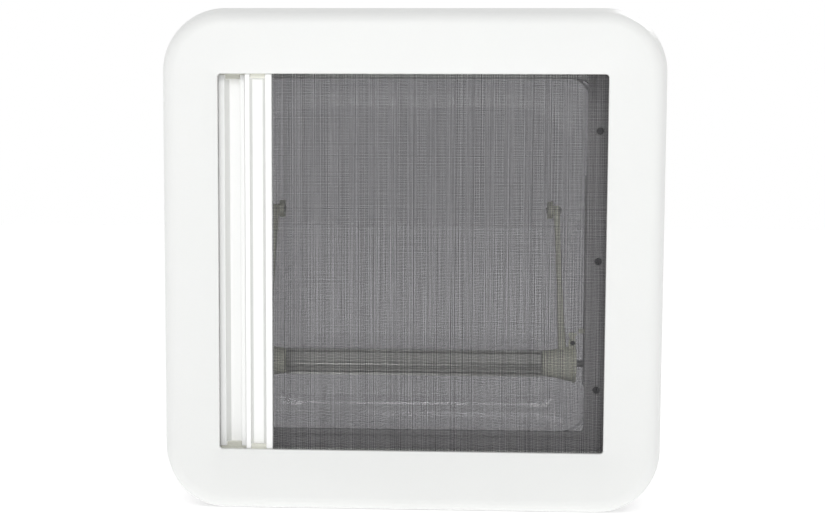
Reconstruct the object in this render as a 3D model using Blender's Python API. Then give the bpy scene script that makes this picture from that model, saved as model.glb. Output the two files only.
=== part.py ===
"""Crank roof window for a caravan, seen as it hangs on the ceiling side: +Z runs up towards the hinge,
+Y runs out through the roof, and the room is on the -Y side. The origin is the middle of the roof
cut-out, in the plane of the roof's outer skin. All sizes are in metres and all angles in degrees."""

import math

import bmesh
import bpy
from mathutils import Matrix, Vector

# ---- driving dimensions ----
CUTOUT = 0.400              # square hole in the roof, edge to edge
ROOF = 0.034                # roof thickness, outer skin to ceiling
RIM_COVER = 0.045           # inner frame's rim beyond the cut-out, at the sides
RIM_COVER_HIGH = 0.0467     # and above and below
OPENING_INSET = 0.01425     # inner frame's opening inside the cut-out, at the sides
OPENING_INSET_HIGH = 0.0188  # and above and below
FRAME_DEPTH = 0.030         # inner frame, ceiling to front face
FRAME_CORNER = 0.062        # corner radius of the rim
FRAME_WALL = 0.0025
OPENING_CORNER = 0.003
LIP_DEPTH = 0.004           # how far the opening's edge turns in
HINGE_OUT = 0.005           # hinge axis, above the upper edge of the cut-out
AXIS_Y = 0.020              # hinge and crank axes, above the roof skin
CRANK_RISE = 0.093          # crank axis when shut, above the lower edge of the cut-out
LUG_RISE = 0.038            # lug pins, above the hinge and crank axes
DOME_TOP = 0.074            # crest of the outer pane, above the roof skin
TILT_MAX = 50.0             # how far the window opens

GAP = 0.0003                # between pieces that touch
RUN_GAP = 0.0004            # between pieces that slide

# ---- sealing collar and fixed frames ----
COLLAR_GAP = 0.002          # cut-out edge to collar
COLLAR_WALL = 0.003
CEILING_FLANGE = 0.022      # collar's flange against the ceiling
CEILING_FLANGE_WALL = 0.0024
LEDGE_REACH = 0.022         # collar's inner face to the ledge's inner edge
LEDGE_TOP_RISE = 0.0132     # the opening reaches this much further at the hinge side
LEDGE_CORNER = 0.004        # corner radius of the opening
LEDGE_WALL = 0.005
LEDGE_LIP = 0.005           # width of the raised inner lip
LEDGE_LIP_RISE = 0.0012
LEDGE_GROOVE = 0.003
GASKET = 0.0017
GASKET_WIDTH = 0.028
FLANGE_REACH = 0.032        # cut-out edge to the flange's outer edge
FLANGE_WALL = 0.003
UPSTAND_INSET = 0.012       # collar's inner face to the upstand's inner face
UPSTAND_WALL = 0.003
UPSTAND_TOP = 0.024
UPSTAND_FOOT = 0.008        # width of the thick foot that takes the screws
UPSTAND_FOOT_TOP = 0.008
ROOF_CORNER = 0.022         # corner radius of the collar
SEAL_WIDTH = 0.0042
SEAL_HEIGHT = 0.0047

# ---- frame screws ----
SCREW_RADIUS = 0.0018
SCREW_HEAD_RADIUS = 0.0034
SCREW_HEAD = 0.0022
SCREW_LENGTH = 0.010
SCREW_SPACING = 0.130
SCREW_INSET = 0.010         # collar's inner face to the screws
SCREW_SINK = 0.0026         # depth of the counterbore
SCREW_TIP_GAP = 0.001
SCREW_HEAD_GAP = 0.0008

# ---- panes ----
SKIRT_GAP = 0.007           # upstand's outer face to the skirt
PANE_WALL = 0.003
INNER_PANE_WALL = 0.002
SKIRT_LOW = 0.008
INNER_PANE_TOP = 0.066
PANE_CORNER = 0.045

# ---- hinges ----
HINGE_X = 0.120
HINGE_PIN_RADIUS = 0.002
KNUCKLE_RADIUS = 0.005
HINGE_EAR = 0.004           # thickness of a bracket ear
HINGE_STRAP_WIDTH = 0.014
HINGE_PLATE = 0.0025
HINGE_HEAD = 0.0015
HINGE_PLATE_LOW = 0.008     # strap's plate, below and above the hinge axis
HINGE_PLATE_HIGH = 0.006

# ---- crank bar ----
HUB_CLEAR = 0.0172          # hub's outer end to the upstand
BAR_TALL = 0.026
BAR_DEEP = 0.015
HUB_LENGTH = 0.034
HUB_END_RADIUS = 0.0195
LUG_OFFSET = 0.007          # hub's inner end to the lug's inner face
LUG_WIDTH = 0.006
ARM_TOP_WIDTH = 0.006
ARM_FOOT_WIDTH = 0.008
ARM_SPLAY = 0.0036          # how far the foot stands outside the top
ARM_EYE = 0.005
ARM_FOOT = 0.0075
LUG_PIN_RADIUS = 0.0022
END_PIN_RADIUS = 0.0035
SHOE_HALF = 0.009
SHOE_DEEP = 0.0112
SHOE_WIDE = 0.0046
TRACK_WALL = 0.0015
TRACK_OVER = 0.014          # track length past the shoe at each end of its travel

# ---- catches ----
CATCH_INSET = 0.0038        # hub's outer end to the catch pin
CATCH_RISE = 0.023          # crank axis to the catch pin
CATCH_THICK = 0.0036
CATCH_PIN_RADIUS = 0.0015
CATCH_EAR = 0.0028
CATCH_HOOK_LOW = 0.0075     # hook's lower edge, above the catch pin
CATCH_HOOK_HIGH = 0.0105
CATCH_HOOK_REACH = 0.0042   # hook's tip, outside the catch pin
CATCH_REACH_GAP = 0.0016    # released hook to stud
STUD_HALF = 0.0024

# ---- blinds ----
RAIL_INSET = FRAME_CORNER * 0.371  # frame's rim to the ends of the guide rails, clear of its corners
RAIL_DEPTH = 0.0098
RAIL_WALL = 0.0015
CHANNEL = 0.009             # width of one channel, along Y
ANCHOR_WALL = 0.004
PULL_WIDTH = 0.0257
PULL_DEEP = 0.0095
PULL_SHORT = 0.0002         # opening's edge to the bar's end
PLUG_LENGTH = 0.0037        # end cap's plug that closes the recess, up to the opening's edge
PLUG_SINK = 0.0015          # ridges' front to the plug's front
PULL_OUTER_RIDGE = 0.0062
PULL_INNER_RIDGE = 0.0045
PULL_RECESS = 0.006
PULL_TUCK = 0.002           # how far the parked blackout bar hides behind the opening's edge
PULL_STAGGER = 0.0019       # between the two bars, seen from the room
TONGUE = 0.0065             # end cap's tongue in its channel
PLEATS = 19
PLEAT_DEEP = 0.0068
PLEAT_WALL = 0.0005

CORNER_STEPS = 6
ROUND_STEPS = 16

# ---- places that follow from them ----
FRONT_Y = -ROOF - FRAME_DEPTH
CEILING_Y = -ROOF
RIM_X = CUTOUT / 2 + RIM_COVER
RIM_Z = CUTOUT / 2 + RIM_COVER_HIGH
OPEN_X = CUTOUT / 2 - OPENING_INSET
OPEN_Z = CUTOUT / 2 - OPENING_INSET_HIGH
COLLAR_OUT = CUTOUT / 2 - COLLAR_GAP
COLLAR_IN = COLLAR_OUT - COLLAR_WALL
UPSTAND_IN = COLLAR_IN - UPSTAND_INSET
UPSTAND_OUT = UPSTAND_IN + UPSTAND_WALL
SKIRT_IN = UPSTAND_OUT + SKIRT_GAP
SKIRT_OUT = SKIRT_IN + PANE_WALL
FLANGE_LOW = GASKET + GAP
FLANGE_TOP = FLANGE_LOW + FLANGE_WALL
SEAL_LOW = UPSTAND_TOP + GAP
RIM_LOW = SEAL_LOW + SEAL_HEIGHT + GAP
HINGE_Z = CUTOUT / 2 + HINGE_OUT
CRANK_Z = -CUTOUT / 2 + CRANK_RISE
LUG_Y = AXIS_Y + LUG_RISE
LUG_Z = (HINGE_Z + CRANK_Z) / 2
HUB_OUT = UPSTAND_IN - HUB_CLEAR
HUB_IN = HUB_OUT - HUB_LENGTH
BAR_HALF = HUB_IN - GAP
LUG_X = HUB_IN + LUG_OFFSET
ARM_X = LUG_X + LUG_WIDTH + RUN_GAP
CATCH_X = HUB_OUT - CATCH_INSET
CATCH_Z = CRANK_Z + CATCH_RISE
TRACK_OUT = UPSTAND_IN - GAP
TRACK_DEEP = SHOE_DEEP + 2 * (RUN_GAP + TRACK_WALL)
TRACK_WIDE = SHOE_WIDE + 2 * (RUN_GAP + TRACK_WALL)
TRACK_IN = TRACK_OUT - TRACK_WIDE
TILT = math.radians(TILT_MAX)
CRANK_HIGH = HINGE_Z - 2 * ((HINGE_Z - LUG_Z) * math.cos(TILT) - LUG_RISE * math.sin(TILT))
RAIL_FRONT = FRONT_Y + FRAME_WALL + 2 * GAP
SCREEN_CHANNEL = RAIL_FRONT + RAIL_WALL
BLACKOUT_CHANNEL = SCREEN_CHANNEL + CHANNEL + RAIL_WALL
RAIL_BACK = BLACKOUT_CHANNEL + CHANNEL + RAIL_WALL
RAIL_Z = OPEN_Z + FRAME_WALL + 2 * GAP
RAIL_HALF_LENGTH = RIM_X - RAIL_INSET
PULL_HALF_LENGTH = OPEN_Z - PULL_SHORT
SCREEN_MID = SCREEN_CHANNEL + CHANNEL / 2
BLACKOUT_MID = BLACKOUT_CHANNEL + CHANNEL / 2
BLACKOUT_LEFT = -OPEN_X - PULL_TUCK
SCREEN_LEFT = BLACKOUT_LEFT + PULL_WIDTH + PULL_STAGGER
PULL_CAP_TOP = RAIL_Z - 2 * GAP

for old in list(bpy.data.objects):
    bpy.data.objects.remove(old, do_unlink=True)


# ---- helpers ----
def finish_material(name, colour, roughness, metallic=0.0):
    made = bpy.data.materials.get(name) or bpy.data.materials.new(name)
    made.use_nodes = True
    shader = made.node_tree.nodes["Principled BSDF"]
    shader.inputs["Base Color"].default_value = (*colour, 1.0)
    shader.inputs["Roughness"].default_value = roughness
    shader.inputs["Metallic"].default_value = metallic
    return made


def white_plastic():
    return finish_material("white_plastic", (0.87, 0.88, 0.86), 0.45)


def grey_plastic():
    return finish_material("grey_plastic", (0.24, 0.235, 0.21), 0.55)


def beige_plastic():
    return finish_material("beige_plastic", (0.55, 0.52, 0.44), 0.5)


def clear_acrylic():
    return finish_material("clear_acrylic", (0.80, 0.82, 0.82), 0.08)


def black_rubber():
    return finish_material("black_rubber", (0.02, 0.02, 0.02), 0.85)


def bright_metal():
    return finish_material("anodised_aluminium", (0.62, 0.62, 0.61), 0.32, 1.0)


def steel():
    return finish_material("zinc_steel", (0.45, 0.45, 0.44), 0.35, 1.0)


def net_cloth():
    return finish_material("insect_net", (0.05, 0.05, 0.05), 0.8)


def blackout_cloth():
    return finish_material("blackout_cloth", (0.70, 0.69, 0.64), 0.8)


def object_from(name, mesh_data, finish, smooth=False):
    """Turns a bmesh into a named object whose faces point out."""
    bmesh.ops.recalc_face_normals(mesh_data, faces=mesh_data.faces)
    mesh = bpy.data.meshes.new(name)
    mesh_data.to_mesh(mesh)
    mesh_data.free()
    mesh.materials.append(finish)
    if smooth:
        mesh.shade_smooth()
        mesh.set_sharp_from_angle(angle=math.radians(35))
    made = bpy.data.objects.new(name, mesh)
    bpy.context.scene.collection.objects.link(made)
    return made


def corner_loop(half_x, half_z, radius, y, lift=0.0):
    """Points round a rounded rectangle in the plane at y; lift raises its middle."""
    radius = min(radius, half_x * 0.999, half_z * 0.999)
    points = []
    for quarter in range(4):
        side_x = 1 if quarter in (0, 3) else -1
        side_z = 1 if quarter in (0, 1) else -1
        for step in range(CORNER_STEPS + 1):
            angle = math.radians(90 * (quarter + step / CORNER_STEPS))
            x = side_x * (half_x - radius) + radius * math.cos(angle)
            z = side_z * (half_z - radius) + radius * math.sin(angle)
            points.append(Vector((x, y, z + lift)))
    return points


def join_loops(mesh_data, first, second):
    count = len(first)
    for i in range(count):
        j = (i + 1) % count
        mesh_data.faces.new((first[i], first[j], second[j], second[i]))


def ring(name, sections, finish, smooth=False):
    """A closed ring whose cross-section is the loop of (half_x, half_z, radius, y, lift) sections."""
    mesh_data = bmesh.new()
    loops = [[mesh_data.verts.new(p) for p in corner_loop(*section)] for section in sections]
    for first, second in zip(loops, loops[1:] + loops[:1]):
        join_loops(mesh_data, first, second)
    return object_from(name, mesh_data, finish, smooth)


def bowl(name, sections, finish, smooth=False):
    """A solid closed at both ends of its list of sections by a flat face, like a bowl and its inside."""
    mesh_data = bmesh.new()
    loops = [[mesh_data.verts.new(p) for p in corner_loop(*section)] for section in sections]
    for first, second in zip(loops, loops[1:]):
        join_loops(mesh_data, first, second)
    mesh_data.faces.new(loops[0])
    mesh_data.faces.new(loops[-1])
    return object_from(name, mesh_data, finish, smooth)


def prism(name, outline, axis, start, end, finish, smooth=False):
    """An outline swept along one axis: X takes (y, z) points, Y takes (x, z) and Z takes (x, y)."""
    def place(a, b, c):
        return {"X": (c, a, b), "Y": (a, c, b), "Z": (a, b, c)}[axis]
    mesh_data = bmesh.new()
    near = [mesh_data.verts.new(place(a, b, start)) for a, b in outline]
    far = [mesh_data.verts.new(place(a, b, end)) for a, b in outline]
    join_loops(mesh_data, near, far)
    mesh_data.faces.new(near)
    mesh_data.faces.new(far)
    return object_from(name, mesh_data, finish, smooth)


def arc(centre, radius, start, end, steps=8):
    """Points on an arc in the plane of an outline, from one angle to another."""
    angles = [math.radians(start + (end - start) * i / steps) for i in range(steps + 1)]
    return [(centre[0] + radius * math.cos(a), centre[1] + radius * math.sin(a)) for a in angles]


def circle(centre, radius, steps=ROUND_STEPS):
    return arc(centre, radius, 0, 360 * (steps - 1) / steps, steps - 1)


def turned(name, axis, centre, stations, finish, steps=ROUND_STEPS):
    """A turned solid on an axis through centre; stations are (place along the axis, radius)."""
    mesh_data = bmesh.new()
    loops = []
    for along, radius in stations:
        points = circle(centre, radius, steps)
        place = {"X": lambda a, b: (along, a, b), "Y": lambda a, b: (a, along, b)}[axis]
        loops.append([mesh_data.verts.new(place(a, b)) for a, b in points])
    for first, second in zip(loops, loops[1:]):
        join_loops(mesh_data, first, second)
    mesh_data.faces.new(loops[0])
    mesh_data.faces.new(loops[-1])
    return object_from(name, mesh_data, finish, smooth=True)


def combine(target, others, operation):
    """Cuts the other solids out of target, or joins them on, and removes them."""
    for other in others:
        change = target.modifiers.new(operation.lower(), "BOOLEAN")
        change.operation = operation
        change.solver = "EXACT"
        change.object = other
        bpy.context.view_layer.update()
        evaluated = target.evaluated_get(bpy.context.evaluated_depsgraph_get())
        result = bpy.data.meshes.new_from_object(evaluated)
        target.modifiers.clear()
        target.data = result
        bpy.data.objects.remove(other, do_unlink=True)
    return target


def box_outline(low_a, high_a, low_b, high_b):
    return [(low_a, low_b), (high_a, low_b), (high_a, high_b), (low_a, high_b)]


def mirrored(side, low, high):
    """The span low..high on the right, or its mirror image on the left."""
    return (low, high) if side > 0 else (-high, -low)


# ---- bodies' axes: each moving body hangs on an empty that stands on its joint ----
def axis_empty(name, place, parent=None):
    made = bpy.data.objects.new(name, None)
    bpy.context.scene.collection.objects.link(made)
    made.matrix_world = Matrix.Translation(place)
    attach(made, parent)
    return made


def attach(child, parent):
    if parent is not None:
        bpy.context.view_layer.update()
        child.parent = parent
        child.matrix_parent_inverse = parent.matrix_world.inverted()


SIDES = (("left", -1), ("right", 1))


# ---- fixed frames ----
def make_inner_frame():
    """White shell: crowned face, rounded shoulder, tapered side, and a lip round the opening."""
    half_x, half_z = RIM_X, RIM_Z

    def from_rim(inset, depth):
        return (half_x - inset, half_z - inset, FRAME_CORNER - inset * 0.8, FRONT_Y + depth)

    def from_opening(offset, depth):
        return (OPEN_X + offset, OPEN_Z + offset, OPENING_CORNER + offset, FRONT_Y + depth)

    wall = FRAME_WALL
    outside = [from_opening(0, LIP_DEPTH), from_opening(0, 0.0012), from_opening(0.0012, 0)]
    outside += [from_rim(0.0185, 0.0003), from_rim(0.0130, 0.0020), from_rim(0.0085, 0.0058)]
    outside += [from_rim(0.0060, 0.0110), from_rim(0, FRAME_DEPTH)]
    inside = [from_rim(wall, FRAME_DEPTH), from_rim(0.0060 + wall, 0.0115)]
    inside += [from_rim(0.0085 + wall, 0.0075), from_rim(0.0130 + wall, 0.0046)]
    inside += [from_rim(0.0185 + wall, 0.0003 + wall), from_opening(wall, wall)]
    inside += [from_opening(wall, LIP_DEPTH)]
    return ring("inner_frame", outside + inside, white_plastic(), smooth=True)


def square(half, corner_inset, y):
    """A section on the roof side, whose corners shrink with it."""
    return (half, half, max(ROOF_CORNER - corner_inset, 0.003), y)


def make_mounting_frame():
    """Ceiling flange, collar through the roof, and the inner ledge that takes the screws."""
    low = CEILING_Y - CEILING_FLANGE_WALL
    flange_out = COLLAR_OUT + CEILING_FLANGE
    flange_in = COLLAR_OUT + GAP
    flange = [square(flange_in, 0, low), square(flange_out, -0.010, low)]
    flange += [square(flange_out, -0.010, CEILING_Y), square(flange_in, 0, CEILING_Y)]
    ring("mounting_flange", flange, grey_plastic())
    collar = [square(COLLAR_IN, COLLAR_WALL, low), square(COLLAR_OUT, 0, low)]
    collar += [square(COLLAR_OUT, 0, 0), square(COLLAR_IN, COLLAR_WALL, 0)]
    ring("mounting_collar", collar, grey_plastic())
    make_ledge()


def make_ledge():
    """Flat ring inside the collar, with a raised lip along its inner edge and a groove beside the lip."""
    lift = LEDGE_TOP_RISE / 2

    def opening(half, y):
        return (half, half + lift, LEDGE_CORNER, y, lift)

    ledge_out = COLLAR_IN - GAP
    ledge_in = COLLAR_IN - LEDGE_REACH
    lip_y = -LEDGE_WALL - LEDGE_LIP_RISE
    groove_y = -LEDGE_WALL + LEDGE_LIP_RISE
    lip_out = ledge_in + LEDGE_LIP
    sections = [
        square(ledge_out, COLLAR_WALL, 0),
        opening(ledge_in, 0),
        opening(ledge_in, lip_y),
        opening(lip_out, lip_y),
        opening(lip_out, groove_y),
        opening(lip_out + LEDGE_GROOVE, groove_y),
        opening(lip_out + LEDGE_GROOVE, -LEDGE_WALL),
        square(ledge_out, COLLAR_WALL, -LEDGE_WALL),
    ]
    ledge = ring("mounting_ledge", sections, grey_plastic())
    holes = []
    head_room = SCREW_HEAD_RADIUS + SCREW_HEAD_GAP
    for x, z in screw_places():
        sink = [(-LEDGE_WALL - 0.004, head_room), (-LEDGE_WALL + SCREW_SINK, head_room)]
        holes.append(turned("cut", "Y", (x, z), sink, steel(), 12))
        bore = [(-LEDGE_WALL, SCREW_RADIUS + GAP), (0.002, SCREW_RADIUS + GAP)]
        holes.append(turned("cut", "Y", (x, z), bore, steel(), 12))
    return combine(ledge, holes, "DIFFERENCE")


def screw_places():
    x = COLLAR_IN - SCREW_INSET
    return [(side * x, row * SCREW_SPACING) for side in (-1, 1) for row in (1, 0, -1)]


def make_frame_screws():
    low = -LEDGE_WALL + SCREW_SINK - GAP - SCREW_HEAD
    screws = []
    for number, (x, z) in enumerate(screw_places(), 1):
        neck = low + SCREW_HEAD
        stations = [(low, SCREW_HEAD_RADIUS), (neck, SCREW_HEAD_RADIUS), (neck, SCREW_RADIUS)]
        stations += [(neck + SCREW_LENGTH - 0.002, SCREW_RADIUS), (neck + SCREW_LENGTH, 0.0006)]
        screws.append(turned(f"frame_screw_{number}", "Y", (x, z), stations, steel(), 12))
    return screws


def make_outer_frame():
    """Flange on the roof and the upstand that carries the seal; its thick foot takes the screws."""
    foot = UPSTAND_IN + UPSTAND_FOOT
    flange_out = CUTOUT / 2 + FLANGE_REACH
    sections = [
        square(UPSTAND_IN, 0.004, GAP),
        square(UPSTAND_IN, 0.004, UPSTAND_TOP),
        square(UPSTAND_OUT, 0.001, UPSTAND_TOP),
        square(UPSTAND_OUT, 0.001, UPSTAND_FOOT_TOP + 0.002),
        square(foot, -0.002, UPSTAND_FOOT_TOP),
        square(foot, -0.002, FLANGE_TOP),
        square(flange_out - 0.002, -0.024, FLANGE_TOP),
        square(flange_out, -0.026, FLANGE_TOP - 0.0015),
        square(flange_out, -0.026, FLANGE_LOW),
        square(COLLAR_OUT + 0.0015, -0.004, FLANGE_LOW),
        square(COLLAR_OUT + 0.0015, -0.004, GAP),
    ]
    frame = ring("outer_frame", sections, white_plastic())
    reach = SCREW_LENGTH - LEDGE_WALL + SCREW_SINK - GAP + SCREW_TIP_GAP
    holes = []
    for x, z in screw_places():
        bore = [(-0.002, SCREW_RADIUS + GAP), (reach, SCREW_RADIUS + GAP)]
        holes.append(turned("cut", "Y", (x, z), bore, steel(), 12))
    return combine(frame, holes, "DIFFERENCE")


def make_flange_gasket():
    inner = COLLAR_OUT + 0.002
    outer = inner + GASKET_WIDTH
    sections = [square(inner, 0, 0), square(outer, -0.022, 0)]
    sections += [square(outer, -0.022, GASKET), square(inner, 0, GASKET)]
    return ring("flange_gasket", sections, black_rubber())


def make_dome_seal():
    mid = (UPSTAND_IN + UPSTAND_OUT) / 2 + 0.0006
    half = SEAL_WIDTH / 2
    top = SEAL_LOW + SEAL_HEIGHT
    sections = [
        square(mid - half, 0.003, SEAL_LOW),
        square(mid + half, 0.001, SEAL_LOW),
        square(mid + half, 0.001, SEAL_LOW + SEAL_HEIGHT * 0.6),
        square(mid + half * 0.5, 0.0015, top),
        square(mid - half * 0.5, 0.0025, top),
        square(mid - half, 0.003, SEAL_LOW + SEAL_HEIGHT * 0.6),
    ]
    return ring("dome_seal", sections, black_rubber(), smooth=True)


# ---- sash ----
def pane_section(half, rise, wall=0.0):
    """Pane section whose corner radius grows as the section shrinks, so that the dome is a pillow."""
    radius = PANE_CORNER * 0.6 + (SKIRT_OUT - half) * 0.55
    return (half - wall, half - wall, max(radius - wall, 0.002), rise)


def make_outer_pane():
    wall = PANE_WALL
    base = RIM_LOW + INNER_PANE_WALL + 2 * GAP
    climb = DOME_TOP - base
    shape = [(0.0, 0.0), (0.004, 0.45), (0.014, 0.78), (0.032, 0.94), (0.070, 0.985), (0.130, 1.0)]
    outside = [pane_section(SKIRT_OUT, SKIRT_LOW)]
    inside = [pane_section(SKIRT_OUT, SKIRT_LOW, wall)]
    for inset, share in shape:
        rise = base + climb * share
        outside.append(pane_section(SKIRT_OUT - inset, rise))
        inside.append(pane_section(SKIRT_OUT - inset, rise - wall * share, wall * (1 - share)))
    return bowl("outer_pane", outside[::-1] + inside, clear_acrylic(), smooth=True)


def make_inner_pane():
    wall = INNER_PANE_WALL
    rim_out = SKIRT_IN - GAP
    rim_in = UPSTAND_IN - 0.002
    climb = INNER_PANE_TOP - wall - RIM_LOW
    shape = [(0.0, 0.0), (0.006, 0.45), (0.014, 0.82), (0.024, 0.97), (0.034, 1.0)]
    under = [pane_section(rim_in - inset, RIM_LOW + climb * share) for inset, share in shape]
    over = []
    for inset, share in shape:
        over.append(pane_section(rim_in - inset + wall * (1 - share), RIM_LOW + wall + climb * share))
    rim = [pane_section(rim_out, RIM_LOW), pane_section(rim_out, RIM_LOW + wall)]
    return bowl("inner_pane", under[::-1] + rim + over, clear_acrylic(), smooth=True)


def make_hinge(label, side):
    """Clevis bracket on the flange, a strap on the pane's skirt between its ears, and their pin."""
    x = side * HINGE_X
    half_strap = HINGE_STRAP_WIDTH / 2
    ear_in = half_strap + RUN_GAP
    ear_out = ear_in + HINGE_EAR
    base_low = FLANGE_TOP + GAP
    base_top = base_low + HINGE_PLATE
    ear_top = AXIS_Y + KNUCKLE_RADIUS
    reach = KNUCKLE_RADIUS
    outline = [(x - ear_out, base_low), (x + ear_out, base_low), (x + ear_out, ear_top)]
    outline += [(x + ear_in, ear_top), (x + ear_in, base_top), (x - ear_in, base_top)]
    outline += [(x - ear_in, ear_top), (x - ear_out, ear_top)]
    low, high = HINGE_Z - reach, HINGE_Z + reach
    bracket = prism(f"hinge_bracket_{label}", outline, "Z", low, high, white_plastic())
    hole = HINGE_PIN_RADIUS + GAP
    axis = (AXIS_Y, HINGE_Z)
    cutter = turned("cut", "X", axis, [(x - 0.03, hole), (x + 0.03, hole)], steel())
    combine(bracket, [cutter], "DIFFERENCE")

    plate_in = SKIRT_OUT + GAP
    plate_out = plate_in + HINGE_PLATE
    neck = HINGE_PLATE / 2
    outline = [(AXIS_Y - HINGE_PLATE_LOW, plate_in), (AXIS_Y - HINGE_PLATE_LOW, plate_out)]
    outline += [(AXIS_Y - neck, plate_out)] + arc(axis, KNUCKLE_RADIUS - RUN_GAP, 254, -74, 14)
    outline += [(AXIS_Y + neck, plate_out), (AXIS_Y + HINGE_PLATE_HIGH, plate_out)]
    outline += [(AXIS_Y + HINGE_PLATE_HIGH, plate_in)]
    low, high = x - half_strap, x + half_strap
    strap = prism(f"hinge_strap_{label}", outline, "X", low, high, white_plastic())
    cutter = turned("cut", "X", axis, [(x - 0.03, hole), (x + 0.03, hole)], steel())
    combine(strap, [cutter], "DIFFERENCE")

    end = ear_out + GAP
    head = HINGE_PIN_RADIUS + 0.0012
    stations = [(x - end - HINGE_HEAD, head), (x - end, head), (x - end, HINGE_PIN_RADIUS)]
    stations += [(x + end, HINGE_PIN_RADIUS), (x + end, head), (x + end + HINGE_HEAD, head)]
    pin = turned(f"hinge_pin_{label}", "X", axis, stations, steel())
    return bracket, strap, pin


def make_crank_lug(label, side):
    """Block bonded under the inner pane, with the bore for the arm's pin."""
    start, end = mirrored(side, LUG_X, LUG_X + LUG_WIDTH)
    top = INNER_PANE_TOP - INNER_PANE_WALL - GAP
    outline = [(top, LUG_Z - 0.009), (LUG_Y, LUG_Z - 0.0055)]
    outline += arc((LUG_Y, LUG_Z), 0.0055, 270, 90, 8)[1:-1]
    outline += [(LUG_Y, LUG_Z + 0.0055), (top, LUG_Z + 0.009)]
    lug = prism(f"crank_lug_{label}", outline, "X", start, end, grey_plastic())
    hole = LUG_PIN_RADIUS + GAP
    cutter = turned("cut", "X", (LUG_Y, LUG_Z), [(start - 0.01, hole), (end + 0.01, hole)], steel())
    return combine(lug, [cutter], "DIFFERENCE")


def make_lug_pin(label, side):
    start, end = mirrored(side, LUG_X - GAP, ARM_X + ARM_TOP_WIDTH + GAP)
    head = LUG_PIN_RADIUS + 0.0013
    stations = [(start - 0.0012, head), (start, head), (start, LUG_PIN_RADIUS)]
    stations += [(end, LUG_PIN_RADIUS), (end, head), (end + 0.0012, head)]
    return turned(f"lug_pin_{label}", "X", (LUG_Y, LUG_Z), stations, steel())


# ---- crank bar ----
def make_crossbar():
    """Flat-sided extrusion with a finger rib along its upper and lower edge."""
    half_z, half_y = BAR_TALL / 2, BAR_DEEP / 2
    soft = half_y * 0.6
    corners = ((1, 1, 0), (-1, 1, 90), (-1, -1, 180), (1, -1, 270))
    outline = []
    for side_y, side_z, start in corners:
        centre = (AXIS_Y + side_y * (half_y - soft), CRANK_Z + side_z * (half_z - soft))
        outline += arc(centre, soft, start, start + 90, 4)
    return prism("crossbar", outline, "X", -BAR_HALF, BAR_HALF, bright_metal(), smooth=True)


def hub_radius(x):
    """The hub flares from the bar's height to its outer end, slowly at first."""
    share = min(max((abs(x) - HUB_IN) / HUB_LENGTH, 0), 1)
    return BAR_TALL / 2 + (HUB_END_RADIUS - BAR_TALL / 2) * share ** 1.4


def hub_solid(name, side, extra):
    xs = [side * (HUB_IN + HUB_LENGTH * i / 5) for i in range(6)]
    stations = [(x, hub_radius(x) + extra) for x in xs]
    return turned(name, "X", (AXIS_Y, CRANK_Z), stations, grey_plastic(), 24)


def catch_layer():
    """Front and back of the catch, along Y: just in front of the slide track."""
    back = AXIS_Y - TRACK_DEEP / 2 - GAP - RUN_GAP
    return back - CATCH_THICK, back


def make_hub(label, side):
    """Flared end of the crank bar, with the ear that carries its thumb catch."""
    hub = hub_solid(f"crank_hub_{label}", side, 0.0)
    front, back = catch_layer()
    low, high = mirrored(side, CATCH_X - 0.0035, HUB_OUT - 0.0002)
    top = CATCH_Z + 0.0035
    outline = box_outline(low, high, CRANK_Z + 0.010, top)
    ear = prism("join", outline, "Y", back + RUN_GAP, back + RUN_GAP + CATCH_EAR, grey_plastic())
    combine(hub, [ear], "UNION")
    bore = CATCH_PIN_RADIUS + GAP
    bore_stations = [(front - 0.01, bore), (back + 0.02, bore)]
    cutters = [turned("cut", "Y", (side * CATCH_X, CATCH_Z), bore_stations, steel(), 12)]
    low, high = mirrored(side, CATCH_X - 0.0075, HUB_OUT + 0.01)
    slot = box_outline(low, high, CRANK_Z + 0.0125, CATCH_Z + 0.03)
    cutters.append(prism("cut", slot, "Y", front - 0.03, back + RUN_GAP, steel()))
    hole = END_PIN_RADIUS + GAP
    start, end = mirrored(side, HUB_OUT - 0.012, HUB_OUT + 0.01)
    cutters.append(turned("cut", "X", (AXIS_Y, CRANK_Z), [(start, hole), (end, hole)], steel()))
    return combine(hub, cutters, "DIFFERENCE")


def make_arm(label, side):
    """Tapered arm from the lug pin to the hub, splayed outwards, its foot saddled on the hub."""
    lug = Vector((LUG_Y, LUG_Z))
    foot = Vector((AXIS_Y, CRANK_Z))
    along = (foot - lug).normalized()
    across = Vector((-along.y, along.x))
    heading = math.degrees(math.atan2(across.y, across.x))
    outline = [tuple(foot + across * ARM_FOOT), tuple(foot - across * ARM_FOOT)]
    outline += arc(lug, ARM_EYE, heading + 180, heading, 10)
    mesh_data = bmesh.new()
    length = (foot - lug).length

    def share(point):
        return min(max((Vector(point) - lug).dot(along) / length, 0), 1)

    def inner_x(point):
        return ARM_X + ARM_SPLAY * share(point)

    def outer_x(point):
        return inner_x(point) + ARM_TOP_WIDTH + (ARM_FOOT_WIDTH - ARM_TOP_WIDTH) * share(point)

    inner = [mesh_data.verts.new((side * inner_x(p), p[0], p[1])) for p in outline]
    outer = [mesh_data.verts.new((side * outer_x(p), p[0], p[1])) for p in outline]
    join_loops(mesh_data, inner, outer)
    mesh_data.faces.new(inner)
    mesh_data.faces.new(outer)
    bmesh.ops.triangulate(mesh_data, faces=mesh_data.faces)
    arm = object_from(f"crank_arm_{label}", mesh_data, grey_plastic())
    hole = LUG_PIN_RADIUS + GAP
    start, end = mirrored(side, ARM_X - 0.01, ARM_X + 0.02)
    bore = turned("cut", "X", (LUG_Y, LUG_Z), [(start, hole), (end, hole)], steel())
    return combine(arm, [bore, hub_solid("cut", side, GAP)], "DIFFERENCE")


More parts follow.
